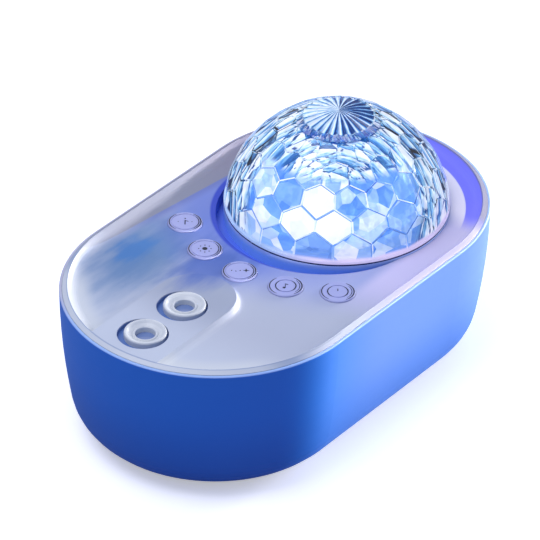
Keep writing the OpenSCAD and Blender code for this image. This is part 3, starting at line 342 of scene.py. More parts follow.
tinted = mix(tree, soft, colour(176, 181, 194), colour(182, 187, 199))
# Painted light: the cover is painted paler towards the front end.
tinted = tint(fade(tree, sides[0], -0.045, -0.085), colour(196, 203, 213), 0.8)
# Painted shade: the platform's top is painted darker towards the dome end.
on_platform = calc(tree, "MULTIPLY", fade(tree, sides[2], platform_side, platform_top),
    fade(tree, sides[0], -0.072, -0.045))
tinted = tint(calc(tree, "MULTIPLY", on_platform, fade(tree, sides[0], -0.030, -0.034)),
    colour(150, 158, 174), 0.8)
brushed = tree.nodes.new("ShaderNodeMapping")
brushed.inputs["Scale"].default_value = (0.4, 1.5, 1.0)
tree.links.new(place, brushed.inputs["Vector"])
ripple = calc(tree, "SUBTRACT", noise(tree, brushed.outputs[0], 120.0, 4.0), 0.5)
ripple = calc(tree, "MULTIPLY", ripple, 0.018)
# Painted shade: blue patches over the hollow at the far side of the lens platform, with rippled edges.
far_hollow_shade = calc(tree, "ADD", away_from(tree, sides, -0.034, 0.035, (0.58, 1.25)), ripple)
spot_shade = calc(tree, "ADD", away_from(tree, sides, -0.0365, 0.0392, (0.8, 1.3)), ripple)
tip_shade = calc(tree, "ADD", away_from(tree, sides, -0.0262, 0.0105, (0.7, 1.0)), ripple)
tinted = tint(fade(tree, far_hollow_shade, 0.030, 0.006), colour(78, 120, 166), 0.9)
# Painted lamp light and shade: lilac and darker near the dome, bluer on its far side.
painted_lilac_near_dome = mix(tree, fade(tree, sides[1], -0.020, 0.000), colour(160, 168, 212),
    colour(110, 130, 206))
tinted = tint(fade(tree, from_dome, 0.078, 0.050), painted_lilac_near_dome, 0.85)
# Painted light and shade: the band along the near edge is painted pale lilac low on its slope and greyer
# lilac higher up.
near_band = calc(tree, "MULTIPLY", fade(tree, sides[1], -0.038, -0.044),
    fade(tree, sides[0], -0.025, 0.010))
near_band_light_and_shade = mix(tree, fade(tree, sides[2], 0.0585, 0.0600), colour(214, 204, 230),
    colour(176, 170, 204))
tinted = tint(near_band, near_band_light_and_shade, 0.85)
# Painted shade: a darker blue beside the far edge and a grey strip on the far slope.
far_line = calc(tree, "ADD", sides[1], calc(tree, "MULTIPLY", sides[0], far_slant))
beside_far = calc(tree, "MULTIPLY", fade(tree, far_line, 0.0425, 0.0470),
    fade(tree, sides[0], -0.045, -0.005))
tinted = tint(beside_far, colour(104, 116, 176), 0.8)
far_strip = calc(tree, "MULTIPLY", fade(tree, far_line, 0.0468, 0.0474),
    fade(tree, sides[0], -0.055, -0.025, 0.4, 1.0))
tinted = tint(far_strip, mix(tree, fade(tree, sides[0], 0.0, 0.040), colour(138, 140, 152),
    colour(134, 130, 144)), 0.95)
# Painted shade: two smaller blue patches.
tinted = tint(fade(tree, tip_shade, 0.020, 0.004), colour(54, 92, 172), 0.8)
tinted = tint(fade(tree, spot_shade, 0.0100, 0.0035), colour(56, 116, 178), 0.85)
print("soft clouds are ready")

# %% Cover finish: painted shade on the rear wall, a painted highlight on the ridge and painted shade in the hollows
from_front = away_from(tree, sides, -end_x, 0.0)
from_rear = away_from(tree, sides, end_x, 0.0)
behind = fade(tree, sides[0], 0.050, 0.062)
# Painted highlight: the ridge behind the dome is painted near white.
on_ridge = calc(tree, "MULTIPLY", fade(tree, from_dome, 0.0492, 0.0488), behind)
tinted = tint(on_ridge, colour(255, 246, 250))
# Painted shade: the wall behind the dome is painted violet.
rear_wall = calc(tree, "MULTIPLY", fade(tree, from_dome, 0.0486, 0.0492), behind)
tinted = tint(rear_wall, colour(124, 124, 250), 0.95)
# Painted shade: the rear lip is painted darker.
rear_lip = calc(tree, "MULTIPLY", fade(tree, from_rear, 0.0538, 0.0546), behind)
tinted = tint(rear_lip, colour(116, 116, 138))
# Painted shade: the front lip is painted grey-blue.
front_lip = calc(tree, "MULTIPLY", fade(tree, from_front, 0.0541, 0.0548),
    fade(tree, sides[0], -0.045, -0.065))
tinted = tint(front_lip, colour(116, 140, 176), 0.75)
# Painted light: the foot of the front slope is painted paler.
front_slope = calc(tree, "MULTIPLY", fade(tree, sides[2], 0.0603, 0.0600),
    fade(tree, from_front, 0.0430, 0.0500))
tinted = tint(calc(tree, "MULTIPLY", front_slope, fade(tree, sides[0], -0.055, -0.070)),
    colour(204, 208, 210), 0.9)

# Painted shade: the dish around the ring is painted blue, deepest at its front edge.
hollow_shade_blue = colour(84, 118, 224)
in_dish = fade(tree, sides[2], 0.0573, 0.0567)
dish_reach = fade(tree, from_dome, 0.0505, 0.0495)
tinted = tint(calc(tree, "MULTIPLY", in_dish, dish_reach), hollow_shade_blue)
dish_edge = fade(tree, away_from(tree, sides, dome_x - 0.008, 0.0016), 0.0424, 0.0412)
tinted = tint(calc(tree, "MULTIPLY", dish_edge, fade(tree, sides[2], 0.0550, 0.0570)),
    colour(40, 68, 188))
lens_middles = (-0.0567, -0.0792)
# Painted shade: each lens collar's pocket is painted blue.
for x in lens_middles:
    in_pocket = calc(tree, "MULTIPLY", fade(tree, away_from(tree, sides, x, 0.0), 0.00965, 0.00945),
        fade(tree, sides[2], 0.0601, 0.0597))
    tinted = tint(in_pocket, colour(74, 112, 178), 0.95)
tree.links.new(tinted, shader.inputs["Base Color"])
tree.links.new(fade(tree, soft, 0.3, 0.7, 0.38, 0.48), shader.inputs["Roughness"])
grain(tree, shader, noise(tree, place, mould_grain, 2.0), 0.00004, 0.25)
give(cover_finish, "top_cover")
print("cover finish on top_cover")

# %% [markdown]
# ## Collars, buttons and the ring
# The lens collars are painted a shade lighter than the cover, which stands for the light on
# their raised tops. The button caps take the cover's painted lilac of lamp light and shade.
# The ring under the dome is a blue plastic part, painted lighter near the dome's foot for
# the light of the lamp inside.

# %% Collar, button and ring finishes
def moulded(name, first, second, roughness):
    """Moulded plastic with a slight mottle between two near colours."""
    finish, tree, shader = start_finish(name, first, roughness)
    place = object_place(tree)
    soft = noise(tree, place, 30.0)
    tree.links.new(mix(tree, soft, first, second), shader.inputs["Base Color"])
    tree.links.new(fade(tree, soft, 0.3, 0.7, roughness - 0.04, roughness + 0.04),
        shader.inputs["Roughness"])
    grain(tree, shader, noise(tree, place, mould_grain, 2.0), 0.00003, 0.2)
    return finish


# Painted light: the collars are painted lighter than the cover.
give(moulded("collar_plastic", colour(206, 209, 209), colour(212, 215, 215), 0.3),
    "lens_collar_a", "lens_collar_b")
# Painted lamp light and shade: the caps are painted the cover's lilac.
give(moulded("button_plastic_far", colour(160, 164, 207), colour(168, 172, 213), 0.4),
    "clock_button", "light_button")
give(moulded("button_plastic_near", colour(160, 165, 208), colour(168, 172, 213), 0.4),
    "mode_button", "music_button", "power_button")

ring_finish, tree, shader = start_finish("ring_plastic", colour(60, 92, 205), 0.35)
place = object_place(tree)
sides = axes(tree, place)
ring_soft = mix(tree, noise(tree, place, 35.0), colour(134, 184, 250), colour(142, 191, 252))
# Painted light: the ring is painted lighter near the dome's foot.
painted_lamp_light = fade(tree, sides[2], 0.0555, 0.0585)
tree.links.new(mix(tree, painted_lamp_light, ring_soft, colour(186, 204, 240)), shader.inputs["Base Color"])
grain(tree, shader, noise(tree, place, 1800.0, 2.0), 0.00003, 0.2)
give(ring_finish, "dome_ring")
print("finishes on the collars, five buttons and the ring")

# %% [markdown]
# ## The clear dome
# The dome is clear blue acrylic with polished flat facets. The facets are in the mesh, and
# refraction alone leaves them much alike. On the real dome each facet catches the turning
# cup's light in its own way, so some are blue, some pale and a few white. Here that light is
# painted: a facet's own direction picks a number for the whole facet, and that number picks
# its painted colour, with painted highlights on the facets that face the lens end and painted
# shade in the grooves. Around the patch that faces the lens end the painted light is drawn out
# into long streaks with dark edges, and dark painted reflections lie further out. At the top a
# rosette has painted pale petals and painted deep blue valleys. The foot is frosted where it
# sits on the ring; its tint is painted light, and a dark line at its bottom is painted shade.
# The dome's glow is painted light as well, given as emission.

# %% Places on the dome
def facet_chance(tree, seed):
    """A number from 0 to 1 that is the same all over one flat facet, and its direction."""
    facing = tree.nodes.new("ShaderNodeNewGeometry").outputs["True Normal"]
    turned = tree.nodes.new("ShaderNodeVectorTransform")
    turned.vector_type = "NORMAL"
    turned.convert_from = "WORLD"
    turned.convert_to = "OBJECT"
    tree.links.new(facing, turned.inputs[0])
    snapped = tree.nodes.new("ShaderNodeVectorMath")
    snapped.operation = "SNAP"
    snapped.inputs[1].default_value = (0.031, 0.031, 0.031)
    tree.links.new(turned.outputs[0], snapped.inputs[0])
    lot = tree.nodes.new("ShaderNodeTexWhiteNoise")
    lot.noise_dimensions = "4D"
    lot.inputs["W"].default_value = seed
    tree.links.new(snapped.outputs[0], lot.inputs["Vector"])
    return lot.outputs["Value"], turned.outputs[0]


def pointing(tree, vector, around, rise):
    """The part of a vector that points a given way. Both angles are in degrees."""
    a, u = math.radians(around), math.radians(rise)
    match = tree.nodes.new("ShaderNodeVectorMath")
    match.operation = "DOT_PRODUCT"
    match.inputs[1].default_value = (math.cos(u) * math.cos(a), math.cos(u) * math.sin(a),
        math.sin(u))
    tree.links.new(vector, match.inputs[0])
    return match.outputs["Value"]


def turn_and_tilt(tree, vector, around, rise):
    """Angle around the axis that points the given way, and angle away from that axis."""
    over = pointing(tree, vector, around, rise + 90.0)
    beside = pointing(tree, vector, around + 90.0, 0.0)
    level = calc(tree, "SQRT", calc(tree, "ADD", calc(tree, "MULTIPLY", over, over),
        calc(tree, "MULTIPLY", beside, beside)))
    return (calc(tree, "ARCTAN2", beside, over),
        calc(tree, "ARCTAN2", level, pointing(tree, vector, around, rise)))


def cells(tree, feature, across, along, third=0.0):
    """Voronoi cells with straight edges, about one unit wide in the given values."""
    spot = tree.nodes.new("ShaderNodeCombineXYZ")
    for socket, value in zip(spot.inputs, (across, along, third)):
        if value != 0.0:
            tree.links.new(value, socket)
    pattern = tree.nodes.new("ShaderNodeTexVoronoi")
    pattern.feature = feature
    pattern.inputs["Scale"].default_value = 1.0
    tree.links.new(spot.outputs[0], pattern.inputs["Vector"])
    return pattern.outputs


def ramp(tree, value, *stops):
    """Colours by value. Each stop is a position and a colour."""
    bar = tree.nodes.new("ShaderNodeValToRGB")
    while len(bar.color_ramp.elements) < len(stops):
        bar.color_ramp.elements.new(0.5)
    for element, (position, shade) in zip(bar.color_ramp.elements, stops):
        element.position = position
        element.color = shade
    tree.links.new(value, bar.inputs[0])
    return bar.outputs[0]


print("helpers for the dome are ready")

# %% Dome finish: painted light on the flat facets and shards
acrylic_ior = 1.49
dome_base = 0.0597
dome_finish, tree, shader = start_finish("dome_acrylic", colour(150, 195, 250), 0.04)
place = object_place(tree)
sides = axes(tree, place)
lot, facing = facet_chance(tree, 3.0)
from_middle = tree.nodes.new("ShaderNodeVectorMath")
from_middle.operation = "SUBTRACT"
from_middle.inputs[1].default_value = (dome_x, 0.0, dome_base)
tree.links.new(place, from_middle.inputs[0])
spot = from_middle.outputs[0]
around, from_top = turn_and_tilt(tree, spot, 0.0, 90.0)
# Painted highlight: facets that face the lens end are painted white and glow more.
painted_glare_facets = fade(tree, pointing(tree, facing, 206.0, 27.0), 0.958, 0.975)

# Painted light: each facet, split into shards, gets a painted blue, pale or white.
shards = cells(tree, "F1", calc(tree, "MULTIPLY", around, 5.0),
    calc(tree, "MULTIPLY", from_top, 6.5), calc(tree, "MULTIPLY", lot, 9.0))
shard_lot = calc(tree, "FRACT", calc(tree, "MULTIPLY", shards["Color"], 3.0))
lower_lot = calc(tree, "ADD", calc(tree, "MULTIPLY", lot, 0.5),
    calc(tree, "MULTIPLY", shard_lot, 0.5))
facet = ramp(tree, lower_lot, (0.0, colour(66, 120, 204)), (0.36, colour(106, 158, 226)),
    (0.5, colour(148, 188, 236)), (0.6, colour(206, 226, 242)), (0.75, colour(250, 250, 250)))
dome_colour = mix(tree, painted_glare_facets, facet, mix(tree, shard_lot, colour(255, 255, 255),
    colour(226, 228, 240)))
outward = tree.nodes.new("ShaderNodeVectorMath")
outward.operation = "NORMALIZE"
tree.links.new(spot, outward.inputs[0])
squareness = tree.nodes.new("ShaderNodeVectorMath")
squareness.operation = "DOT_PRODUCT"
tree.links.new(outward.outputs[0], squareness.inputs[0])
tree.links.new(facing, squareness.inputs[1])
# Painted shade: facets in the grooves are painted darker blue.
in_groove = fade(tree, squareness.outputs["Value"], 0.93, 0.90)
dome_colour = mix(tree, in_groove, dome_colour, mix(tree, lot, colour(48, 96, 178),
    colour(136, 180, 230)))
print("facets and shards are coloured")

# %% Dome finish: painted streaks of light and dark painted reflections
lens_way, lens_rise = 214.0, 26.0
turn, tilt = turn_and_tilt(tree, spot, lens_way, lens_rise)
# Painted light: long pale streaks with dark edges, drawn around the patch that faces the lens end.
streak_along = calc(tree, "MULTIPLY", turn, 2.3)
streak_across = calc(tree, "MULTIPLY", tilt, 11.0)
facet_step = calc(tree, "MULTIPLY", lot, 5.0)
streaks = cells(tree, "F1", streak_along, streak_across, facet_step)
streak_edge = cells(tree, "DISTANCE_TO_EDGE", streak_along, streak_across, facet_step)["Distance"]
streak_lot = calc(tree, "FRACT", calc(tree, "MULTIPLY", streaks["Color"], 3.0))
hair_place = tree.nodes.new("ShaderNodeCombineXYZ")
tree.links.new(calc(tree, "MULTIPLY", turn, 5.0), hair_place.inputs[0])
tree.links.new(calc(tree, "MULTIPLY", tilt, 46.0), hair_place.inputs[1])
hairs = calc(tree, "SUBTRACT", noise(tree, hair_place.outputs[0], 1.0, 2.0), 0.5)
bevel = calc(tree, "SUBTRACT", streak_across, axes(tree, streaks["Position"])[1])
bevel = calc(tree, "ADD", bevel, calc(tree, "SUBTRACT", streak_lot, 0.5))
bevel = calc(tree, "ADD", bevel, calc(tree, "MULTIPLY", hairs, 1.5))
streak = ramp(tree, fade(tree, bevel, -0.9, 0.8), (0.0, colour(40, 92, 146)),
    (0.2, colour(84, 146, 200)), (0.4, colour(146, 196, 222)), (0.58, colour(212, 236, 240)),
    (0.85, colour(252, 252, 250)))
dark_line = calc(tree, "MULTIPLY", fade(tree, streak_edge, 0.07, 0.03),
    fade(tree, hairs, -0.06, 0.04))
streak = mix(tree, dark_line, streak, colour(24, 70, 128))
# Painted reflection: dark strokes further out from the patch that faces the lens end.
painted_dark_reflection = calc(tree, "MULTIPLY", fade(tree, tilt, math.radians(54.0), math.radians(64.0)),
    fade(tree, streak_lot, 0.37, 0.31))
painted_dark_reflection = calc(tree, "MULTIPLY", painted_dark_reflection, fade(tree, tilt, math.radians(92.0), math.radians(80.0)))
painted_dark_reflection = calc(tree, "MULTIPLY", painted_dark_reflection, fade(tree, streak_edge, 0.17, 0.13))
painted_dark_reflection = calc(tree, "MULTIPLY", painted_dark_reflection, fade(tree, bevel, 0.0, -0.08))
streak = mix(tree, painted_dark_reflection, streak, colour(8, 16, 34))
beside_patch = calc(tree, "MULTIPLY", fade(tree, tilt, math.radians(47.0), math.radians(56.0)),
    fade(tree, tilt, math.radians(125.0), math.radians(105.0)))
in_streaks = calc(tree, "MAXIMUM", beside_patch,
    fade(tree, from_top, math.radians(50.0), math.radians(44.0)))
dome_colour = mix(tree, in_streaks, dome_colour, streak)
print("streaks are drawn")

# %% Dome finish: painted rosette, painted light on the foot and the painted glow
petal_count, petal_start = 24.0, math.radians(5.5)
frost_low, frost_high = 0.0603, 0.0616
# Painted highlight and shade: pale petals and deep blue valleys at the top.
petal_wave = calc(tree, "COSINE", calc(tree, "MULTIPLY",
    calc(tree, "SUBTRACT", around, petal_start), petal_count))
petal_wave = calc(tree, "ADD", petal_wave, calc(tree, "MULTIPLY",
    calc(tree, "SUBTRACT", noise(tree, place, 180.0), 0.5), 2.0))
petal = ramp(tree, fade(tree, petal_wave, -1.2, 1.2), (0.12, colour(8, 48, 112)),
    (0.36, colour(58, 124, 190)), (0.62, colour(160, 214, 244)), (0.95, colour(244, 251, 254)))
in_rosette = fade(tree, from_top, math.radians(20.0), math.radians(19.0))
dome_colour = mix(tree, in_rosette, dome_colour, petal)
# Painted shade: a dark ring of scallops around the rosette, on the side that faces the lens end.
scallop_shade = calc(tree, "MULTIPLY", fade(tree, from_top, math.radians(25.0), math.radians(24.0)),
    fade(tree, from_top, math.radians(19.0), math.radians(20.5)))
scallop_shade = calc(tree, "MULTIPLY", scallop_shade, fade(tree, streak_lot, 0.2, 0.8, 0.3, 0.9))
scallop_shade = calc(tree, "MULTIPLY", scallop_shade, fade(tree, pointing(tree, outward.outputs[0], 216.0, 0.0),
    -0.05, 0.3))
dome_colour = mix(tree, scallop_shade, dome_colour, colour(14, 66, 158))

# The foot is frosted; its tint is painted light: lilac-pink on the side that faces about 255 degrees, pale
# blue elsewhere.
foot = fade(tree, sides[2], frost_high, frost_low)
foot_painted_light = mix(tree, fade(tree, pointing(tree, outward.outputs[0], 255.0, 0.0), 0.2, 0.8),
    colour(186, 210, 240), colour(236, 222, 244))
dome_colour = mix(tree, foot, dome_colour, foot_painted_light)
# Painted shade: a dark line at the very bottom of the dome's foot.
dome_colour = mix(tree, fade(tree, sides[2], 0.0590, 0.0587), dome_colour, colour(20, 30, 80))
tree.links.new(dome_colour, shader.inputs["Base Color"])
# The painted glare and the dark painted reflections let less light through.
dark_reflection_share = calc(tree, "MULTIPLY", painted_dark_reflection, in_streaks)
clear_share = calc(tree, "SUBTRACT", 0.45, calc(tree, "MULTIPLY", painted_glare_facets, 0.25))
clear_share = calc(tree, "SUBTRACT", clear_share, calc(tree, "MULTIPLY", dark_reflection_share, 0.45), clamp=True)
tree.links.new(calc(tree, "MULTIPLY", clear_share, fade(tree, sides[2], frost_low, frost_high, 0.35, 1.0)),
    shader.inputs["Transmission Weight"])
shader.inputs["IOR"].default_value = acrylic_ior
# Painted light: the dome's colour also glows as emission, most on the facets that face the lens end and
# less in the grooves.
tree.links.new(dome_colour, shader.inputs["Emission Color"])
glow = calc(tree, "SUBTRACT", fade(tree, painted_glare_facets, 0.0, 1.0, 0.34, 0.5),
    calc(tree, "MULTIPLY", in_groove, 0.2))
tree.links.new(glow, shader.inputs["Emission Strength"])
shader.inputs["Specular IOR Level"].default_value = 0.3
tree.links.new(fade(tree, noise(tree, place, 60.0), 0.3, 0.7, 0.02, 0.06),
    shader.inputs["Roughness"])
give(dome_finish, "dome")
print("dome finish on dome")

# %% [markdown]
# ## The turning cup
# The cup is thin clear acrylic with twelve large facets in a row. It stands close over the
# lamp, and its glow is painted as emission: each facet gets its own painted brightness, as if
# it passed a little more or less of the light.

# %% Cup finish
cup_finish, tree, shader = start_finish("cup_acrylic", colour(190, 218, 255), 0.05)
lot, facing = facet_chance(tree, 7.0)
# Painted light: each facet gets its own painted colour and a glow that stands for the lamp's light.
cup_painted_light = ramp(tree, lot, (0.0, colour(120, 172, 248)), (0.5, colour(176, 212, 252)),
    (0.8, colour(236, 244, 255)))
tree.links.new(cup_painted_light, shader.inputs["Base Color"])
tree.links.new(cup_painted_light, shader.inputs["Emission Color"])
tree.links.new(fade(tree, lot, 0.2, 0.9, 0.08, 0.35), shader.inputs["Emission Strength"])
tree.links.new(fade(tree, noise(tree, object_place(tree), 60.0), 0.3, 0.7, 0.03, 0.08),
    shader.inputs["Roughness"])
shader.inputs["Transmission Weight"].default_value = 0.85
shader.inputs["IOR"].default_value = acrylic_ior
give(cup_finish, "ripple_cup")
print("cup finish on ripple_cup")

# %% [markdown]
# ## The lamp
# The lamp chips sit on a white board at the bottom of a white reflector. The chips give
# off a cool light of their own. The reflector, board and the gear around them are white
# plastic, which spreads that light up into the cup.

# %% Lamp finishes
give(moulded("reflector_white", colour(206, 216, 246), colour(216, 226, 250), 0.35),
    "lamp_housing", "lamp_board", "cup_gear")
chip_finish, tree, shader = start_finish("lamp_chip", colour(255, 255, 255), 0.3)
chip_dots = noise(tree, object_place(tree), 900.0)
tree.links.new(mix(tree, chip_dots, colour(190, 216, 255), colour(235, 244, 255)),
    shader.inputs["Emission Color"])
shader.inputs["Emission Strength"].default_value = 2.0
give(chip_finish, "lamp_chips")
print("lamp is lit")

# %% [markdown]
# ## Lenses and gratings
# The two lens windows are thin grey-blue glass. Below each one turns a film that splits
# the laser into a field of dots. The film's fine grooves give it a faint rainbow, which a
# thin film on the shader copies.

# %% Glass and film finishes
glass_finish, tree, shader = start_finish("lens_glass", colour(110, 132, 184), 0.06)
shader.inputs["IOR"].default_value = 1.5
tree.links.new(mix(tree, noise(tree, object_place(tree), 220.0), colour(92, 116, 168),
    colour(122, 144, 190)), shader.inputs["Base Color"])
shader.inputs["Coat Weight"].default_value = 1.0
shader.inputs["Coat Roughness"].default_value = 0.03
give(glass_finish, "lens_window_a", "lens_window_b")
film_finish, tree, shader = start_finish("grating_film", colour(190, 205, 235), 0.12)
shader.inputs["Transmission Weight"].default_value = 0.6
shader.inputs["Thin Film Thickness"].default_value = 420.0
tree.links.new(mix(tree, noise(tree, object_place(tree), 900.0), colour(170, 190, 230),
    colour(210, 220, 245)), shader.inputs["Base Color"])
give(film_finish, "grating_disc_a", "grating_disc_b")
print("glass and film are on")

# %% [markdown]
# ## Rubber feet and the inner plastic parts
# The feet are soft dark rubber with a dull, slightly dusty face. Inside, the middle frame
# is a pale grey moulding, the wheels and pinions are white gear plastic, and the jack,
# switches, chip and receiver are black. One helper serves all of them: only the colours
# and the gloss differ.

# %% Rubber and plastics
rubber_finish, tree, shader = start_finish("foot_rubber", colour(44, 46, 54), 0.85)
place = object_place(tree)
dust = fade(tree, noise(tree, place, 400.0, 5.0), 0.45, 0.7)
tree.links.new(mix(tree, dust, colour(38, 40, 48), colour(58, 60, 70)), shader.inputs["Base Color"])
grain(tree, shader, noise(tree, place, 1500.0, 4.0), 0.00008, 0.5)
give(rubber_finish, "rubber_feet", "speaker_gasket")
give(moulded("frame_grey", colour(206, 209, 216), colour(213, 216, 222), 0.5), "mid_frame")
give(moulded("gear_plastic", colour(234, 234, 228), colour(240, 240, 235), 0.32),
    "cup_pinion", "grating_wheel_a", "grating_wheel_b", "grating_pinion", "board_connectors")
give(moulded("part_black", colour(30, 31, 35), colour(38, 39, 44), 0.45),
    "power_jack", "button_switches")
give(moulded("chip_black", colour(24, 25, 28), colour(32, 33, 37), 0.6), "main_chip")
give(moulded("receiver_dark", colour(26, 18, 28), colour(34, 24, 36), 0.12), "infrared_receiver")
print("rubber and plastics are on")

# %% [markdown]
# ## Circuit boards
# A board is green lacquer over copper. The copper tracks show as slightly lighter lines
# that run along or across the board. A brick pattern gives such broken lines, and the
# lacquer over them is glossy.

# %% Board finish
board_finish, tree, shader = start_finish("circuit_lacquer", colour(14, 84, 52), 0.28)
place = object_place(tree)
tracks = tree.nodes.new("ShaderNodeTexBrick")
tracks.inputs["Scale"].default_value = 160.0
tracks.inputs["Mortar Size"].default_value = 0.045
tracks.inputs["Color1"].default_value = colour(12, 78, 48)
tracks.inputs["Color2"].default_value = colour(16, 90, 56)
tracks.inputs["Mortar"].default_value = colour(44, 132, 84)
tree.links.new(place, tracks.inputs["Vector"])
tree.links.new(tracks.outputs["Color"], shader.inputs["Base Color"])
shader.inputs["Coat Weight"].default_value = 0.6
shader.inputs["Coat Roughness"].default_value = 0.1
give(board_finish, "main_board", "button_board")
print("tracks on both boards")

# %% [markdown]
# ## Metals
# The screws and shafts are steel, the heat sink is aluminium, the laser barrels are turned
# brass and the laser block is cast zinc. Turned parts show fine rings about their own
# axis, and a noise that is squeezed along Z gives those. Cast and plated parts show a soft
# mottle.

# %% Metal finishes
def metal(name, first, second, roughness, rings=0.0):
    finish, tree, shader = start_finish(name, first, roughness, 1.0)
    place = object_place(tree)
    squeeze = tree.nodes.new("ShaderNodeMapping")
    squeeze.inputs["Scale"].default_value = (1.0, 1.0, 1.0 + rings)
    tree.links.new(place, squeeze.inputs["Vector"])
    lines = noise(tree, squeeze.outputs[0], 300.0, 4.0)
    tree.links.new(mix(tree, lines, first, second), shader.inputs["Base Color"])
    tree.links.new(fade(tree, lines, 0.3, 0.7, roughness - 0.07, roughness + 0.07),
        shader.inputs["Roughness"])
    return finish


give(metal("screw_steel", colour(172, 174, 180), colour(196, 198, 203), 0.3, 4.0),
    "base_screws", "board_screws", "frame_screws", "speaker_screws", "button_board_screws",
    "cup_motor_shaft", "grating_motor_shaft")
give(metal("motor_can", colour(186, 188, 192), colour(204, 206, 210), 0.25, 8.0),
    "cup_motor", "grating_motor")
give(metal("basket_steel", colour(120, 122, 128), colour(140, 142, 148), 0.45), "speaker_frame")
give(metal("magnet_zinc", colour(150, 152, 158), colour(176, 178, 184), 0.4), "speaker_magnet")
give(metal("tin_can", colour(196, 198, 202), colour(214, 216, 220), 0.22), "radio_module")
give(metal("fin_aluminium", colour(204, 206, 210), colour(222, 224, 228), 0.35), "heat_sink")
give(metal("cast_zinc", colour(160, 163, 170), colour(184, 187, 194), 0.5), "laser_block")
give(metal("turned_brass", colour(206, 168, 92), colour(222, 188, 112), 0.22, 10.0),
    "laser_barrel_a", "laser_barrel_b")
print("metals are on")

# %% [markdown]
# ## Speaker cone and capacitors
# The cone is black pressed paper, with soft fibres. A capacitor is an aluminium
# can in a blue sleeve: the sleeve stops just below the top, where the bare metal shows.

# %% Cone and capacitor finishes
cone_finish, tree, shader = start_finish("cone_paper", colour(34, 34, 38), 0.8)
place = object_place(tree)
fibres = noise(tree, place, 700.0, 5.0, 0.7)
tree.links.new(mix(tree, fibres, colour(28, 28, 32), colour(50, 50, 56)), shader.inputs["Base Color"])
grain(tree, shader, fibres, 0.0001, 0.5)
give(cone_finish, "speaker_cone")

sleeve_finish, tree, shader = start_finish("capacitor_sleeve", colour(30, 46, 120), 0.35)
place = object_place(tree)
sides = axes(tree, place)
bare_top = fade(tree, sides[2], 0.0207, 0.0208)
sleeve = mix(tree, noise(tree, place, 250.0), colour(26, 42, 112), colour(36, 54, 130))
tree.links.new(mix(tree, bare_top, sleeve, colour(200, 202, 208)), shader.inputs["Base Color"])
tree.links.new(bare_top, shader.inputs["Metallic"])
give(sleeve_finish, "capacitors")
print("cone and capacitors are done")

# %% [markdown]
# ## Marks on the buttons
# Each cap carries a small printed mark and two dark arcs at its sides. The arcs are painted
# shade of the gap around the cap, laid in the same ink as the print. Print is a thin film of
# ink, so each mark is a flat piece 0.04 mm thick that lies on its cap and rides with it. The
# marks are built from outlines: a disc, a bar, an arc or a star is a list of points, and one
# helper gives it a thickness. All marks stand upright to a person who looks from the lens end
# and the near side.

# %% Outlines for the marks
mark_up = Vector((0.789, 0.614, 0.0)).normalized()
mark_right = Vector((mark_up.y, -mark_up.x, 0.0))
cap_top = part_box("mode_button")[1][2]
ink_depth = 0.00004


def disc(x, y, radius, corners=16):
    return [(x + radius * math.cos(2 * math.pi * k / corners),
        y + radius * math.sin(2 * math.pi * k / corners)) for k in range(corners)]


def bar(x0, y0, x1, y1, width):
    """A straight stroke with cut ends."""
    along = Vector((x1 - x0, y1 - y0)).normalized() * width / 2
    return [(x0 + along.y, y0 - along.x), (x1 + along.y, y1 - along.x),
        (x1 - along.y, y1 + along.x), (x0 - along.y, y0 + along.x)]


def arc(radius, width, middle, spread, steps=20):
    """A curved stroke that thins out at both ends. Angles are in degrees."""
    outer, inner = [], []
    for k in range(steps + 1):
        turn = math.radians(middle + spread * (2 * k / steps - 1))
        half = width / 2 * max(0.12, 1 - (2 * k / steps - 1) ** 2) ** 0.5
        outer.append(((radius + half) * math.cos(turn), (radius + half) * math.sin(turn)))
        inner.append(((radius - half) * math.cos(turn), (radius - half) * math.sin(turn)))
    return outer + inner[::-1]


def star(x, y, radius, points, waist):
    turns = [math.pi * k / points + math.pi / 2 for k in range(2 * points)]
    return [(x + (radius if k % 2 == 0 else radius * waist) * math.cos(a),
        y + (radius if k % 2 == 0 else radius * waist) * math.sin(a))
        for k, a in enumerate(turns)]


print("ink lies at", round(1000 * cap_top, 2), "mm")

# %% Ink finish, the marks and the painted shade arcs
ink_and_shade_finish, tree, shader = start_finish("mark_ink_and_painted_shade", colour(10, 14, 34), 0.5)
tree.links.new(mix(tree, noise(tree, object_place(tree), 1500.0), colour(6, 10, 28),
    colour(18, 24, 50)), shader.inputs["Base Color"])


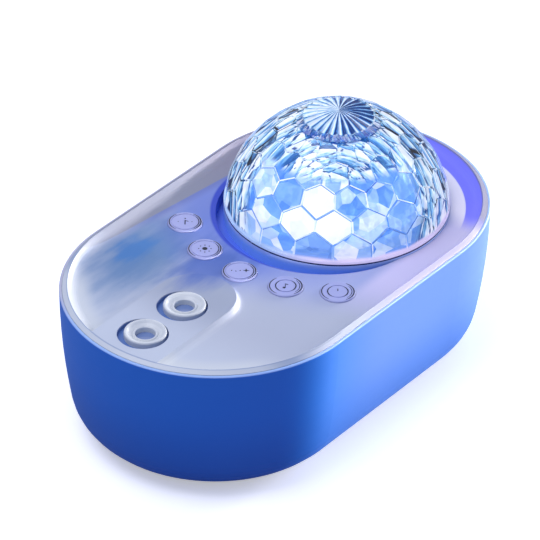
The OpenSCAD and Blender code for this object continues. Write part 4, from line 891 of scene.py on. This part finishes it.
def mark(name, button, outlines):
    """One mark on a button, of print and painted shade arcs: every outline in mm, extruded to the ink's
    depth.
    """
    low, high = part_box(button)
    middle = Vector(((low[0] + high[0]) / 2, (low[1] + high[1]) / 2, cap_top))
    shape = bmesh.new()
    for outline in outlines:
        rings = []
        for level in (0.0, ink_depth):
            rings.append([shape.verts.new(middle + 0.001 * (x * mark_right + y * mark_up)
                + Vector((0.0, 0.0, level))) for x, y in outline])
        count = len(outline)
        shape.faces.new(rings[0][::-1])
        shape.faces.new(rings[1])
        for k in range(count):
            shape.faces.new((rings[0][k], rings[0][(k + 1) % count],
                rings[1][(k + 1) % count], rings[1][k]))
    bmesh.ops.recalc_face_normals(shape, faces=shape.faces)
    mesh = bpy.data.meshes.new(name)
    shape.to_mesh(mesh)
    shape.free()
    piece = bpy.data.objects.new(name, mesh)
    bpy.context.scene.collection.objects.link(piece)
    mesh.materials.append(ink_and_shade_finish)
    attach(piece, button)
    return piece


# Painted shade: dark arcs of the gap at both sides of each cap, doubled on one side.
gap_shade_arcs = [arc(6.0, 0.42, 180.0, 56.0), arc(6.0, 0.5, 0.0, 60.0), arc(5.2, 0.28, -4.0, 46.0)]
inner_arcs = [arc(3.75, 0.4, 180.0, 55.0), arc(3.75, 0.4, 0.0, 55.0)]
sun_rays = [disc(2.3 * math.cos(math.radians(45 * k)), 2.3 * math.sin(math.radians(45 * k)), 0.26)
    for k in range(8)]
marks = [
    mark("clock_mark", "clock_button", gap_shade_arcs + [disc(0, 2.1, 0.3), bar(0, 0.9, 0, -1.9, 0.4),
        bar(-0.2, 0.8, 1.3, 0.2, 0.34), disc(-2.6, 0, 0.2), disc(2.6, 0, 0.2)]),
    mark("sun_mark", "light_button", gap_shade_arcs + [disc(0, 0, 1.0)] + sun_rays),
    mark("mode_mark", "mode_button", gap_shade_arcs + [disc(-3.0, 0.2, 0.26), disc(-1.4, -0.2, 0.26),
        disc(0.2, 0.2, 0.26), star(2.4, 0.3, 1.3, 4, 0.3)]),
    mark("note_mark", "music_button", gap_shade_arcs + inner_arcs + [disc(-0.6, -1.2, 0.55),
        bar(-0.15, -1.2, -0.15, 1.3, 0.26), bar(-0.15, 1.2, 0.9, 0.7, 0.34)]),
    mark("power_mark", "power_button", gap_shade_arcs + inner_arcs + [bar(0, 1.7, 0, 0.2, 0.34)]),
]
print("marks:", [piece.name for piece in marks])
